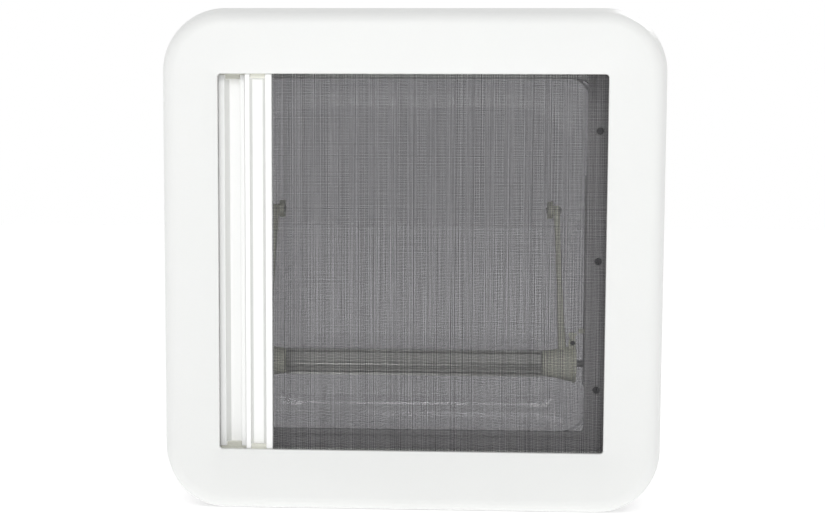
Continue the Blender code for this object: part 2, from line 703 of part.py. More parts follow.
def make_end_pin(label, side):
    """Pin from the hub into the shoe."""
    start, end = mirrored(side, HUB_OUT - 0.0115, TRACK_IN + TRACK_WALL + RUN_GAP + SHOE_WIDE)
    stations = [(start, END_PIN_RADIUS), (end, END_PIN_RADIUS)]
    return turned(f"end_pin_{label}", "X", (AXIS_Y, CRANK_Z), stations, steel())


def make_shoe(label, side):
    """Nylon block that runs in the slide track and turns on the end pin."""
    inner = TRACK_IN + TRACK_WALL + RUN_GAP
    low, high = mirrored(side, inner, inner + SHOE_WIDE)
    half = SHOE_DEEP / 2
    outline = []
    for side_y, side_z, start in ((1, 1, 0), (-1, 1, 90), (-1, -1, 180), (1, -1, 270)):
        soft = 0.0015
        centre = (AXIS_Y + side_y * (half - soft), CRANK_Z + side_z * (SHOE_HALF - soft))
        outline += arc(centre, soft, start, start + 90, 2)
    shoe = prism(f"slide_shoe_{label}", outline, "X", low, high, beige_plastic())
    hole = END_PIN_RADIUS + GAP
    cutter = turned("cut", "X", (AXIS_Y, CRANK_Z), [(low - 0.01, hole), (high + 0.01, hole)], steel())
    return combine(shoe, [cutter], "DIFFERENCE")


def make_slide_track(label, side):
    """C-shaped channel on the upstand's side wall, open towards the pin, that the shoe runs in."""
    half = TRACK_DEEP / 2
    slot = END_PIN_RADIUS + 2 * RUN_GAP
    wall = TRACK_WALL
    back, front = TRACK_OUT, TRACK_IN
    inner = half - wall
    section = [(back, -half), (back, half), (front, half), (front, slot), (front + wall, slot)]
    section += [(front + wall, inner), (back - wall, inner), (back - wall, -inner)]
    section += [(front + wall, -inner), (front + wall, -slot), (front, -slot), (front, -half)]
    outline = [(side * x, AXIS_Y + y) for x, y in section]
    low = CRANK_Z - SHOE_HALF - TRACK_OVER
    high = CRANK_HIGH + SHOE_HALF + TRACK_OVER
    return prism(f"slide_track_{label}", outline, "Z", low, high, bright_metal())


# ---- catches ----
def make_catch(label, side):
    """Thumb catch: a flat lever on its pin, with a hook that points to the side wall."""
    front, back = catch_layer()
    x, z = CATCH_X, CATCH_Z
    tip = x + CATCH_HOOK_REACH
    round_foot = arc((x, z), 0.0030, 180, 360, 6)
    hook_low, hook_high = z + CATCH_HOOK_LOW, z + CATCH_HOOK_HIGH
    outline = round_foot + [(x + 0.0024, hook_low - 0.001), (x + 0.0030, hook_low)]
    outline += [(tip, hook_low), (tip, hook_low + 0.0015), (x + 0.001, hook_high)]
    outline += [(x - 0.0036, hook_high), (x - 0.0044, z + 0.008), (x - 0.0026, z + 0.004)]
    outline = [(side * a, b) for a, b in outline]
    catch = prism(f"catch_{label}", outline, "Y", front, back, beige_plastic())
    bore = CATCH_PIN_RADIUS + GAP
    cutter = turned("cut", "Y", (side * x, z), [(front - 0.01, bore), (back + 0.01, bore)], steel(), 12)
    return combine(catch, [cutter], "DIFFERENCE")


def make_catch_pin(label, side):
    front, back = catch_layer()
    head = CATCH_PIN_RADIUS + 0.0009
    low = front - GAP
    high = back + RUN_GAP + CATCH_EAR
    stations = [(low - 0.0010, head), (low, head), (low, CATCH_PIN_RADIUS), (high, CATCH_PIN_RADIUS)]
    return turned(f"catch_pin_{label}", "Y", (side * CATCH_X, CATCH_Z), stations, steel(), 12)


def make_catch_stud(label, side):
    """Stud on the side wall that the hook swings under; it stands in front of the slide track."""
    front, back = catch_layer()
    tip = CATCH_X + CATCH_HOOK_REACH + CATCH_REACH_GAP
    low = CATCH_Z + CATCH_HOOK_LOW + 0.0015 + STUD_HALF + 2 * RUN_GAP
    foot, head = low - STUD_HALF, low + STUD_HALF
    outline = [(tip, foot + 0.0008), (tip + 0.001, foot), (TRACK_OUT, foot)]
    outline += [(TRACK_OUT, head), (tip + 0.001, head), (tip, head - 0.0008)]
    outline = [(side * a, b) for a, b in outline]
    return prism(f"catch_stud_{label}", outline, "Y", front, back, grey_plastic())


# ---- blinds ----
def make_guide_rail(label, side):
    """Twin channel behind the frame's face: the front one guides the screen, the rear one the blackout."""
    near, far = RAIL_Z, RAIL_Z + RAIL_DEPTH
    floor = far - RAIL_WALL
    section = [(RAIL_FRONT, near), (SCREEN_CHANNEL, near), (SCREEN_CHANNEL, floor)]
    screen_end = SCREEN_CHANNEL + CHANNEL
    blackout_end = BLACKOUT_CHANNEL + CHANNEL
    section += [(screen_end, floor), (screen_end, near), (BLACKOUT_CHANNEL, near)]
    section += [(BLACKOUT_CHANNEL, floor), (blackout_end, floor), (blackout_end, near)]
    section += [(RAIL_BACK, near), (RAIL_BACK, far), (RAIL_FRONT, far)]
    outline = [(y, side * z) for y, z in section]
    half = RAIL_HALF_LENGTH
    return prism(f"guide_rail_{label}", outline, "X", -half, half, white_plastic())


def make_anchor(name, side):
    """Upright profile that closes the rails' ends and holds the fixed edge of a blind."""
    low, high = mirrored(side, RAIL_HALF_LENGTH - ANCHOR_WALL, RAIL_HALF_LENGTH)
    half = RAIL_Z - GAP
    return prism(name, box_outline(low, high, RAIL_FRONT, RAIL_BACK), "Z", -half, half, white_plastic())


def ridge_widths(outer_side):
    """Left and right ridge of a pull bar; the wide one is on the blind's side."""
    if outer_side < 0:
        return PULL_OUTER_RIDGE, PULL_INNER_RIDGE
    return PULL_INNER_RIDGE, PULL_OUTER_RIDGE


def pull_outline(left, middle, outer_side):
    """Bar section: a wide ridge on the blind's side, the finger recess, and a narrow ridge."""
    front = middle - PULL_DEEP / 2
    back = middle + PULL_DEEP / 2
    right = left + PULL_WIDTH
    first, last = ridge_widths(outer_side)
    soft = 0.0012
    outline = [(left, back), (left, front + soft), (left + soft, front), (left + first - soft, front)]
    outline += [(left + first, front + soft), (left + first, front + PULL_RECESS)]
    outline += [(right - last, front + PULL_RECESS), (right - last, front + soft)]
    outline += [(right - last + soft, front)]
    outline += [(right - soft, front), (right, front + soft), (right, back)]
    return outline


def make_pull_bar(kind, left, middle, outer_side):
    """Pull bar of one blind and its two end caps, whose tongues run in the guide rails."""
    outline = pull_outline(left, middle, outer_side)
    bar = prism(f"{kind}_pull_bar", outline, "Z", -PULL_HALF_LENGTH, PULL_HALF_LENGTH, white_plastic())
    pieces = [bar]
    for label, side in (("top", 1), ("bottom", -1)):
        near, far = mirrored(side, PULL_HALF_LENGTH + GAP, PULL_CAP_TOP)
        right = left + PULL_WIDTH
        front, back = middle - PULL_DEEP / 2, middle + PULL_DEEP / 2
        plate = box_outline(left + 0.0002, right - 0.0002, front + 0.0008, back)
        cap = prism(f"{kind}_bar_cap_{label}", plate, "Z", near, far, beige_plastic())
        low, high = mirrored(side, PULL_CAP_TOP - 0.002, PULL_CAP_TOP + TONGUE)
        half = CHANNEL / 2 - RUN_GAP
        tongue = box_outline(left + 0.003, right - 0.003, middle - half, middle + half)
        block = prism("join", tongue, "Z", low, high, beige_plastic())
        first, last = ridge_widths(outer_side)
        floor = front + PULL_RECESS - GAP
        stopper = box_outline(left + first + 2 * GAP, right - last - 2 * GAP, front + PLUG_SINK, floor)
        low, high = mirrored(side, OPEN_Z - PLUG_LENGTH, PULL_CAP_TOP - 0.001)
        plug = prism("join", stopper, "Z", low, high, beige_plastic())
        pieces.append(combine(cap, [block, plug], "UNION"))
    return pieces


def make_screen_pleats():
    """Pleated insect net, pulled out from its anchor to the pull bar."""
    start = SCREEN_LEFT + PULL_WIDTH + GAP
    end = RAIL_HALF_LENGTH - ANCHOR_WALL - GAP
    half = PLEAT_DEEP / 2
    folds = 2 * PLEATS
    near, far = [], []
    for i in range(folds + 1):
        x = start + (end - start) * i / folds
        y = SCREEN_MID + (half if i % 2 else -half)
        near.append((x, y - PLEAT_WALL / 2))
        far.append((x, y + PLEAT_WALL / 2))
    tall = RAIL_Z - 2 * GAP
    return prism("screen_net", near + far[::-1], "Z", -tall, tall, net_cloth())


def make_blackout_pleats():
    """The blackout blind's pleats, folded up into a stack beside their anchor."""
    start = -RAIL_HALF_LENGTH + ANCHOR_WALL + GAP
    end = BLACKOUT_LEFT - GAP
    half = PLEAT_DEEP / 2
    tall = RAIL_Z - 2 * GAP
    outline = box_outline(start, end, BLACKOUT_MID - half, BLACKOUT_MID + half)
    return prism("blackout_pleats", outline, "Z", -tall, tall, blackout_cloth())


# ---- the whole window ----
def build():
    make_inner_frame()
    make_mounting_frame()
    make_frame_screws()
    make_outer_frame()
    make_flange_gasket()
    make_dome_seal()
    for label, side in (("top", 1), ("bottom", -1)):
        make_guide_rail(label, side)
    make_anchor("screen_anchor", 1)
    make_anchor("blackout_anchor", -1)
    make_screen_pleats()
    make_blackout_pleats()

    sash_axis = axis_empty("sash_axis", (0, AXIS_Y, HINGE_Z))
    crank_axis = axis_empty("crank_axis", (0, LUG_Y, LUG_Z), sash_axis)
    shoe_axis = axis_empty("shoe_axis", (0, AXIS_Y, CRANK_Z), crank_axis)
    attach(make_outer_pane(), sash_axis)
    attach(make_inner_pane(), sash_axis)
    attach(make_crossbar(), crank_axis)
    for label, side in SIDES:
        bracket, strap, pin = make_hinge(label, side)
        attach(strap, sash_axis)
        attach(make_crank_lug(label, side), sash_axis)
        attach(make_lug_pin(label, side), sash_axis)
        attach(make_hub(label, side), crank_axis)
        attach(make_arm(label, side), crank_axis)
        attach(make_end_pin(label, side), crank_axis)
        attach(make_catch_pin(label, side), crank_axis)
        attach(make_shoe(label, side), shoe_axis)
        make_slide_track(label, side)
        make_catch_stud(label, side)
        catch_axis = axis_empty(f"catch_axis_{label}", (side * CATCH_X, AXIS_Y, CATCH_Z), crank_axis)
        attach(make_catch(label, side), catch_axis)

    blinds = (("blackout", BLACKOUT_LEFT, BLACKOUT_MID, -1), ("screen", SCREEN_LEFT, SCREEN_MID, 1))
    for kind, left, middle, outer_side in blinds:
        slide_axis = axis_empty(f"{kind}_slide_axis", (left, middle, 0))
        for piece in make_pull_bar(kind, left, middle, outer_side):
            attach(piece, slide_axis)


build()
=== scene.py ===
# Caravan roof window with a crank bar, a pleated insect screen and a pleated blackout blind, seen from the
# room. +Z runs up towards the hinge, +Y out through the roof. Sizes are in metres, angles in degrees unless
# noted.
import math

import bmesh
import bpy
import numpy as np
from mathutils import Matrix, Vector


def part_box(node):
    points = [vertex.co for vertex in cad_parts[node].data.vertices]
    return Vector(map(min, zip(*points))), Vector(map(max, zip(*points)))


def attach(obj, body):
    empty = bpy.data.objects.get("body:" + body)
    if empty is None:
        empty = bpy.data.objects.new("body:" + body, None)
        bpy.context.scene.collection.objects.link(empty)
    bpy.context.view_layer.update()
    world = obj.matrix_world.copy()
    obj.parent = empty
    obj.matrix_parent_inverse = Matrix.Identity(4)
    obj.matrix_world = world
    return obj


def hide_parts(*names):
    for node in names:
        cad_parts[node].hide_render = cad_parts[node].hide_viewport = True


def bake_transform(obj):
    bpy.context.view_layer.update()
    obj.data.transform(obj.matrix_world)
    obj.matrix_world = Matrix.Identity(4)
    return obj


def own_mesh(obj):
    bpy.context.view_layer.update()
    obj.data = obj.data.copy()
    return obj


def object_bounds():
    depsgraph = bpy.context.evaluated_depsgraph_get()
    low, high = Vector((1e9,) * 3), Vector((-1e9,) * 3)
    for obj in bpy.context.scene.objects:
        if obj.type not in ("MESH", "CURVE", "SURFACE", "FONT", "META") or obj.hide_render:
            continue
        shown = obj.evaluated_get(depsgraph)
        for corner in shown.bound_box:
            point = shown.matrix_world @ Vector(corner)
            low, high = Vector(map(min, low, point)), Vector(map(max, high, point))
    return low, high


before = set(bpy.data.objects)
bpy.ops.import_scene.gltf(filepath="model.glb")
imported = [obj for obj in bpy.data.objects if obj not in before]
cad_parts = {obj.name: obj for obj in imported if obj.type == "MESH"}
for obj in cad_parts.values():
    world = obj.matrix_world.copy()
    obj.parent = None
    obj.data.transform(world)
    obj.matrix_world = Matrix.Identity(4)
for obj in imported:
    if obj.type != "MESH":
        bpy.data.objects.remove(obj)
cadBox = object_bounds()
print("frame loaded:", len(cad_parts), "pieces")


# Camera: stands in the room, a little to the right of the window and above its middle.
view = {"place": (0.0438, -1.2058, 0.0896), "pitch": 4.18, "yaw": -2.13, "roll": 0.3, "lens": 52.28,
        "sensor": 36.0}


def turnedBy(first, second, angle):
    # Rotation by the angle in the plane of two axes: cosines on the diagonal, plus and minus the sine
    # beside it.
    matrix = np.eye(3)
    c, s = math.cos(math.radians(angle)), math.sin(math.radians(angle))
    matrix[first, first] = matrix[second, second] = c
    matrix[first, second], matrix[second, first] = -s, s
    return matrix


def placeCamera():
    rolled = turnedBy(2, 0, view["roll"])
    right, forward, up = rolled @ turnedBy(1, 2, view["pitch"]) @ turnedBy(0, 1, view["yaw"])
    data = bpy.data.cameras.new("camera")
    data.lens = view["lens"]
    data.sensor_width = view["sensor"]
    camera = bpy.data.objects.new("camera", data)
    columns = np.column_stack([right, up, -forward, view["place"]])
    camera.matrix_world = Matrix(np.vstack([columns, (0, 0, 0, 1)]).tolist())
    bpy.context.scene.collection.objects.link(camera)
    bpy.context.scene.camera = camera


placeCamera()
print("camera placed")


# Node groups: effects that several finishes share.
def newGroup(name, inputs, outputs):
    group = bpy.data.node_groups.new(name, "ShaderNodeTree")
    for label, kind, value in inputs:
        group.interface.new_socket(label, in_out="INPUT", socket_type=kind).default_value = value
    for label, kind in outputs:
        group.interface.new_socket(label, in_out="OUTPUT", socket_type=kind)
    return group, group.nodes.new("NodeGroupInput").outputs, group.nodes.new("NodeGroupOutput").inputs


def addNode(tree, kind, settings=None, **links):
    # A node with its settings; each keyword names an input, with an output to link or a value to set.
    node = tree.nodes.new(kind)
    for key, value in (settings or {}).items():
        setattr(node, key, value)
    for key, value in links.items():
        numbered = key[0] == "i" and key[1:].isdigit()
        socket = node.inputs[int(key[1:]) if numbered else key.replace("_", " ")]
        if isinstance(value, bpy.types.NodeSocket):
            tree.links.new(value, socket)
        else:
            socket.default_value = value
    return node


def calc(tree, operation, a, b=0.0, c=0.0):
    return addNode(tree, "ShaderNodeMath", {"operation": operation}, i0=a, i1=b, i2=c).outputs[0]


def noiseOn(tree, scale, detail, stretch=(1, 1, 1), shift=(0, 0, 0)):
    # Noise on Object coordinates, stretched along the axes whose factor is small.
    place = addNode(tree, "ShaderNodeTexCoord").outputs["Object"]
    mapped = addNode(tree, "ShaderNodeMapping", None, Vector=place, Scale=stretch, Location=shift).outputs[0]
    return addNode(tree, "ShaderNodeTexNoise", None, Vector=mapped, Scale=scale, Detail=detail).outputs[0]


def tinted(tree, colour, share):
    # Colour times (1 + share): a change in tone that keeps the hue.
    value = calc(tree, "ADD", share, 1.0)
    return addNode(tree, "ShaderNodeHueSaturation", None, Color=colour, Value=value).outputs[0]


colourInput = ("Colour", "NodeSocketColor", (0.8, 0.8, 0.8, 1.0))
groupOutputs = [("Colour", "NodeSocketColor"), ("Roughness", "NodeSocketFloat"),
                ("Normal", "NodeSocketVector")]


def mouldedGroup():
    # Moulded plastic: a fine cast grain in the normal, slow uneven tone, and patches handled smoother than
    # others.
    inputs = [colourInput, ("Tone", "NodeSocketFloat", 0.03), ("Grain", "NodeSocketFloat", 900.0)]
    inputs += [("Roughness", "NodeSocketFloat", 0.4), ("Depth", "NodeSocketFloat", 0.00003)]
    group, given, made = newGroup("mouldedPlastic", inputs, groupOutputs)
    grain = noiseOn(group, given["Grain"], 3.0)
    patches = noiseOn(group, 14.0, 4.0)
    scuffs = noiseOn(group, 160.0, 5.0, (1.0, 1.0, 0.35))
    spread = calc(group, "MULTIPLY", calc(group, "SUBTRACT", patches, 0.5), given["Tone"])
    speckle = calc(group, "MULTIPLY", calc(group, "SUBTRACT", grain, 0.5), given["Tone"])
    group.links.new(tinted(group, given["Colour"], calc(group, "ADD", spread, speckle)), made["Colour"])
    rough = calc(group, "MULTIPLY_ADD", calc(group, "SUBTRACT", scuffs, 0.5), 0.22, given["Roughness"])
    group.links.new(rough, made["Roughness"])
    bump = addNode(group, "ShaderNodeBump", None, Height=grain, Distance=given["Depth"], Strength=0.8)
    group.links.new(bump.outputs[0], made["Normal"])
    return group


def drawnGroup():
    # Extruded or brushed metal and plastic: fine lines along the direction whose Stretch is small.
    inputs = [colourInput, ("Tone", "NodeSocketFloat", 0.1), ("Stretch", "NodeSocketVector", (0.01, 1, 1))]
    inputs += [("Roughness", "NodeSocketFloat", 0.3), ("Depth", "NodeSocketFloat", 0.00002)]
    group, given, made = newGroup("drawnLines", inputs, groupOutputs)
    place = addNode(group, "ShaderNodeTexCoord").outputs["Object"]
    mapped = addNode(group, "ShaderNodeVectorMath", {"operation": "MULTIPLY"}, i0=place,
                     i1=given["Stretch"]).outputs[0]
    lines = addNode(group, "ShaderNodeTexNoise", None, Vector=mapped, Scale=2600.0, Detail=4.0).outputs[0]
    bands = addNode(group, "ShaderNodeTexNoise", None, Vector=mapped, Scale=260.0, Detail=2.0).outputs[0]
    centred = calc(group, "SUBTRACT", calc(group, "MULTIPLY_ADD", lines, 0.5,
                                           calc(group, "MULTIPLY", bands, 0.5)), 0.5)
    group.links.new(tinted(group, given["Colour"], calc(group, "MULTIPLY", centred, given["Tone"])),
                    made["Colour"])
    group.links.new(calc(group, "MULTIPLY_ADD", centred, 0.35, given["Roughness"]), made["Roughness"])
    bump = addNode(group, "ShaderNodeBump", None, Height=lines, Distance=given["Depth"], Strength=0.7)
    group.links.new(bump.outputs[0], made["Normal"])
    return group


def clothGroup():
    # Yarn: streaks that run along the thread for a few centimetres, and a fine twist across it.
    inputs = [colourInput, ("Tone", "NodeSocketFloat", 0.5), ("Streak", "NodeSocketVector", (1, 1, 0.03))]
    inputs += [("Roughness", "NodeSocketFloat", 0.8), ("Depth", "NodeSocketFloat", 0.00005)]
    group, given, made = newGroup("yarn", inputs, groupOutputs)
    place = addNode(group, "ShaderNodeTexCoord").outputs["Object"]
    mapped = addNode(group, "ShaderNodeVectorMath", {"operation": "MULTIPLY"}, i0=place,
                     i1=given["Streak"]).outputs[0]
    streaks = addNode(group, "ShaderNodeTexNoise", None, Vector=mapped, Scale=420.0, Detail=2.0).outputs[0]
    twist = noiseOn(group, 3200.0, 1.0)
    centred = calc(group, "SUBTRACT", streaks, 0.5)
    group.links.new(tinted(group, given["Colour"], calc(group, "MULTIPLY", centred, given["Tone"])),
                    made["Colour"])
    group.links.new(calc(group, "MULTIPLY_ADD", centred, 0.3, given["Roughness"]), made["Roughness"])
    bump = addNode(group, "ShaderNodeBump", None, Height=twist, Distance=given["Depth"], Strength=0.8)
    group.links.new(bump.outputs[0], made["Normal"])
    return group


groups = {"moulded": mouldedGroup(), "drawn": drawnGroup(), "yarn": clothGroup()}


def makeFinish(name, groupName, colour, values, shader=None):
    # One Principled shader; colour, roughness and normal come from the group, constants sit on the shader.
    made = bpy.data.materials.new(name)
    made.use_nodes = True
    tree = made.node_tree
    principled = tree.nodes["Principled BSDF"]
    for key, value in (shader or {}).items():
        principled.inputs[key].default_value = value
    effect = tree.nodes.new("ShaderNodeGroup")
    effect.node_tree = groups[groupName]
    effect.inputs["Colour"].default_value = (*colour, 1.0)
    for key, value in values.items():
        effect.inputs[key].default_value = value
    tree.links.new(effect.outputs["Colour"], principled.inputs["Base Color"])
    tree.links.new(effect.outputs["Roughness"], principled.inputs["Roughness"])
    tree.links.new(effect.outputs["Normal"], principled.inputs["Normal"])
    return made


alongX, alongZ = (0.006, 1.0, 1.0), (1.0, 1.0, 0.006)
finishes = {
    "shell": (
        makeFinish("shellWhite", "moulded", (0.86, 0.868, 0.856), {"Roughness": 0.42, "Tone": 0.03}),
        "white_plastic",
    ),
    "rail": (
        makeFinish("railWhite", "drawn", (0.80, 0.805, 0.79), {"Stretch": alongX, "Tone": 0.05}),
        "white_plastic",
    ),
    "bar": (
        # the faint emission is painted light: a glow that lifts the bars' ridges and recesses out of the
        # frame edge's shade
        makeFinish("barWhitePaintedGlow", "drawn", (0.94, 0.945, 0.935), {"Stretch": alongZ, "Tone": 0.03},
                   {"Emission Color": (1.0, 1.0, 1.0, 1.0), "Emission Strength": 0.08}),
        "white_bar",
    ),
    # grey sheets laid in the pull bars' broad coves: painted shade for the coves' shading
    "paintedCoveShade": (
        makeFinish("paintedCoveShadeGrey", "moulded", (0.76, 0.765, 0.75), {"Roughness": 0.6, "Tone": 0.04}),
        "grey_plastic",
    ),
    "hub": (
        makeFinish("hubGrey", "moulded", (0.80, 0.80, 0.70),
                   {"Roughness": 0.5, "Tone": 0.10, "Grain": 1100.0}),
        "grey_plastic",
    ),
    "collar": (
        makeFinish("collarGrey", "moulded", (0.57, 0.56, 0.57),
                   {"Roughness": 0.55, "Tone": 0.12, "Grain": 700.0}),
        "grey_plastic",
    ),
    "beige": (
        makeFinish("capBeige", "moulded", (0.80, 0.80, 0.72), {"Roughness": 0.5, "Tone": 0.08}),
        "beige_plastic",
    ),
    "rubber": (
        makeFinish("sealRubber", "moulded", (0.022, 0.022, 0.023),
                   {"Roughness": 0.72, "Tone": 0.4, "Grain": 500.0}),
        "rubber",
    ),
    "crossbar": (
        makeFinish("crossbarMetal", "drawn", (0.50, 0.50, 0.48),
                   {"Stretch": alongX, "Tone": 0.16, "Roughness": 0.32},
                   {"Metallic": 0.85}),
        "aluminium",
    ),
    "track": (
        makeFinish("trackMetal", "drawn", (0.60, 0.60, 0.60),
                   {"Stretch": alongZ, "Tone": 0.12, "Roughness": 0.36},
                   {"Metallic": 1.0}),
        "aluminium",
    ),
    "zinc": (
        makeFinish("zincSteel", "moulded", (0.46, 0.46, 0.45),
                   {"Roughness": 0.36, "Tone": 0.25, "Grain": 1600.0},
                   {"Metallic": 1.0}),
        "steel",
    ),
    "darkZinc": (
        makeFinish("screwSteel", "moulded", (0.12, 0.12, 0.12),
                   {"Roughness": 0.42, "Tone": 0.3, "Grain": 1600.0},
                   {"Metallic": 0.9}),
        "steel",
    ),
    "pane": (
        makeFinish("smokedAcrylic", "moulded", (0.585, 0.583, 0.592),
                   {"Roughness": 0.05, "Tone": 0.03, "Grain": 60.0, "Depth": 0.0},
                   {"Transmission Weight": 1.0, "IOR": 1.49}),
        "clear_pane",
    ),
    "net": (
        makeFinish("netThread", "yarn", (0.075, 0.074, 0.078), {"Tone": 1.4}, {"Sheen Weight": 0.15}),
        "insect_net",
    ),
    "blackout": (
        makeFinish("blackoutCloth", "yarn", (0.70, 0.69, 0.64), {"Tone": 0.10, "Streak": (1.0, 1.0, 0.05)},
                   {"Sheen Weight": 0.25}),
        "blackout_cloth",
    ),
}
# the panes' haze is their roughness alone, so nothing bends what is seen through them
paneTree = finishes["pane"][0].node_tree
paneTree.links.remove(paneTree.nodes["Principled BSDF"].inputs["Normal"].links[0])
print("finishes ready:", len(finishes))


# Mesh tools. Every surface is worked out as whole arrays of points on a grid.
def gridFaces(rows, columns, closedRows=False, closedColumns=True):
    # Quads between neighbouring points of a grid that is numbered row by row.
    rowCount = rows if closedRows else rows - 1
    columnCount = columns if closedColumns else columns - 1
    r, c = np.meshgrid(np.arange(rowCount), np.arange(columnCount), indexing="ij")
    r, c = r.ravel(), c.ravel()
    nextR, nextC = (r + 1) % rows, (c + 1) % columns
    corners = [r * columns + c, r * columns + nextC, nextR * columns + nextC, nextR * columns + c]
    return np.stack(corners, axis=1).tolist()


def addPiece(name, points, faces, look, body, replaced=(), bevel=0.0, smoothAngle=35.0, ride=True):
    points = np.asarray(points, float).reshape(-1, 3)
    mesh = bpy.data.meshes.new(name)
    mesh.from_pydata(points.tolist(), [], faces)
    edit = bmesh.new()
    edit.from_mesh(mesh)
    bmesh.ops.remove_doubles(edit, verts=edit.verts, dist=1e-7)
    return finishPiece(name, mesh, edit, look, body, replaced, bevel, smoothAngle, ride)


def finishPiece(name, mesh, edit, look, body, replaced, bevel, smoothAngle, ride=True):
    bmesh.ops.recalc_face_normals(edit, faces=edit.faces)
    edit.to_mesh(mesh)
    edit.free()
    mesh.shade_smooth()
    mesh.set_sharp_from_angle(angle=math.radians(smoothAngle))
    material, slot = finishes[look]
    mesh.materials.clear()
    mesh.materials.append(material)
    piece = bpy.data.objects.new(name, mesh)
    bpy.context.scene.collection.objects.link(piece)
    if bevel:
        edge = piece.modifiers.new("edge", "BEVEL")
        edge.width = bevel
        edge.segments = 2
        edge.limit_method = "ANGLE"
        edge.angle_limit = math.radians(40)
        edge.harden_normals = True
    if ride:
        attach(piece, body)
    if replaced:
        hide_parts(*replaced)
    return piece


def filleted(corners, radius, steps=3, closed=True):
    # Each corner becomes the quadratic curve (1-t)^2 a + 2t(1-t) corner + t^2 b between two points on its
    # sides, as far from the corner as an arc of the radius would touch, and never past 45 % of the shorter
    # side.
    corners = np.asarray(corners, float)
    radius = np.broadcast_to(np.asarray(radius, float), (len(corners),))
    before = np.roll(corners, 1, axis=0) - corners
    after = np.roll(corners, -1, axis=0) - corners
    lengthBefore = np.maximum(np.linalg.norm(before, axis=1), 1e-9)
    lengthAfter = np.maximum(np.linalg.norm(after, axis=1), 1e-9)
    before, after = before / lengthBefore[:, None], after / lengthAfter[:, None]
    half = 0.5 * np.arccos(np.clip((before * after).sum(axis=1), -1, 1))
    reach = np.minimum(radius / np.maximum(np.tan(half), 1e-3), 0.45 * np.minimum(lengthBefore, lengthAfter))
    if not closed:
        reach[0] = reach[-1] = 0.0
    t = np.linspace(0, 1, steps + 1)[None, :, None]
    start = (corners + before * reach[:, None])[:, None]
    end = (corners + after * reach[:, None])[:, None]
    curve = (1 - t) ** 2 * start + 2 * t * (1 - t) * corners[:, None] + t ** 2 * end
    return curve.reshape(-1, corners.shape[1])


def roundedLoops(sections, steps):
    # Each section (half width, half height, corner radius, y, lift) is one loop: four quarter circles and
    # straight sides, its middle raised by the lift where that is given.
    halfX, halfZ, radius, y, *lift = np.asarray(sections, float).T[:, :, None]
    radius = np.clip(radius, 1e-5, 0.999 * np.minimum(halfX, halfZ))
    quarter = np.repeat(np.arange(4), steps + 1)
    angle = np.radians(90.0 * (quarter + np.tile(np.arange(steps + 1) / steps, 4)))
    sideX = np.where((quarter == 0) | (quarter == 3), 1, -1)
    sideZ = np.where(quarter < 2, 1, -1)
    x = sideX * (halfX - radius) + radius * np.cos(angle)
    z = sideZ * (halfZ - radius) + radius * np.sin(angle)
    return np.stack([x, y + 0 * x, z + sum(lift)], axis=-1)


def ringPiece(name, sections, look, body, replaced, rounding=0.0004, steps=16, **more):
    loops = roundedLoops(filleted(sections, rounding), steps)
    return addPiece(name, loops, gridFaces(*loops.shape[:2], closedRows=True), look, body, replaced, **more)


def sweptPiece(name, outline, axis, start, end, look, body, replaced=(), bevel=0.0003, **more):
    # An outline carried straight along one axis: X takes (y, z) points, Y takes (x, z), Z takes (x, y).
    outline = np.asarray(outline, float)
    order = {"X": (2, 0, 1), "Y": (0, 2, 1), "Z": (0, 1, 2)}[axis]
    count = len(outline)
    ends = [np.column_stack([outline, np.full(count, along)])[:, order] for along in (start, end)]
    faces = gridFaces(2, count) + [list(range(count)), list(range(count, 2 * count))]
    return addPiece(name, np.stack(ends), faces, look, body, replaced, bevel, **more)


def turnedPiece(name, axis, centre, stations, look, body, replaced=(), rounding=0.0003, steps=48, **more):
    # A profile of (place along the axis, radius) turned round the axis; both ends are closed.
    profile = filleted(stations, rounding, closed=False)
    angle = np.radians(360.0 * np.arange(steps) / steps)
    a = centre[0] + profile[:, 1:] * np.cos(angle)
    b = centre[1] + profile[:, 1:] * np.sin(angle)
    along = profile[:, :1] + 0 * a
    points = np.stack({"X": (along, a, b), "Y": (a, along, b)}[axis], axis=-1)
    rows = len(profile)
    caps = [list(range(steps)), list(range((rows - 1) * steps, rows * steps))]
    return addPiece(name, points, gridFaces(rows, steps) + caps, look, body, replaced, **more)


def softenedCopy(node, look, body, bevel=0.0003, smoothAngle=30.0):
    # The CAD solid's own shape with its triangles joined into faces and its edges broken by a small bevel.
    mesh = bpy.data.meshes.new(node + "Softened")
    edit = bmesh.new()
    edit.from_mesh(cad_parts[node].data)
    bmesh.ops.remove_doubles(edit, verts=edit.verts, dist=1e-6)
    bmesh.ops.dissolve_limit(edit, angle_limit=math.radians(0.5), verts=edit.verts, edges=edit.edges)
    return finishPiece(node + "Softened", mesh, edit, look, body, [node], bevel, smoothAngle)


def cutAway(piece, cutters):
    # Takes the cutters out of the piece for good, and removes them.
    for cutter in cutters:
        change = piece.modifiers.new("cut", "BOOLEAN")
        change.operation = "DIFFERENCE"
        change.solver = "EXACT"
        change.object = cutter
    bpy.context.view_layer.update()
    cut = bpy.data.meshes.new_from_object(piece.evaluated_get(bpy.context.evaluated_depsgraph_get()))
    piece.modifiers.clear()
    piece.data = cut
    for cutter in cutters:
        bpy.data.objects.remove(cutter, do_unlink=True)


sides = (("left", -1), ("right", 1))
shellLow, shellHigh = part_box("inner_frame")


# Inner frame: one moulded shell. Its flat face turns over a quarter ellipse into a side that flares to the
# ceiling.
shell = {
    "opening": (0.18575, 0.1812), "openingCorner": 0.003, "lip": 0.004, "rimCorner": 0.062,
    "rollInset": 0.0195, "rollEnd": 0.0058, "rollDepth": 0.0125, "wall": 0.0025, "rollSteps": 14,
    "edge": 0.0009,
}


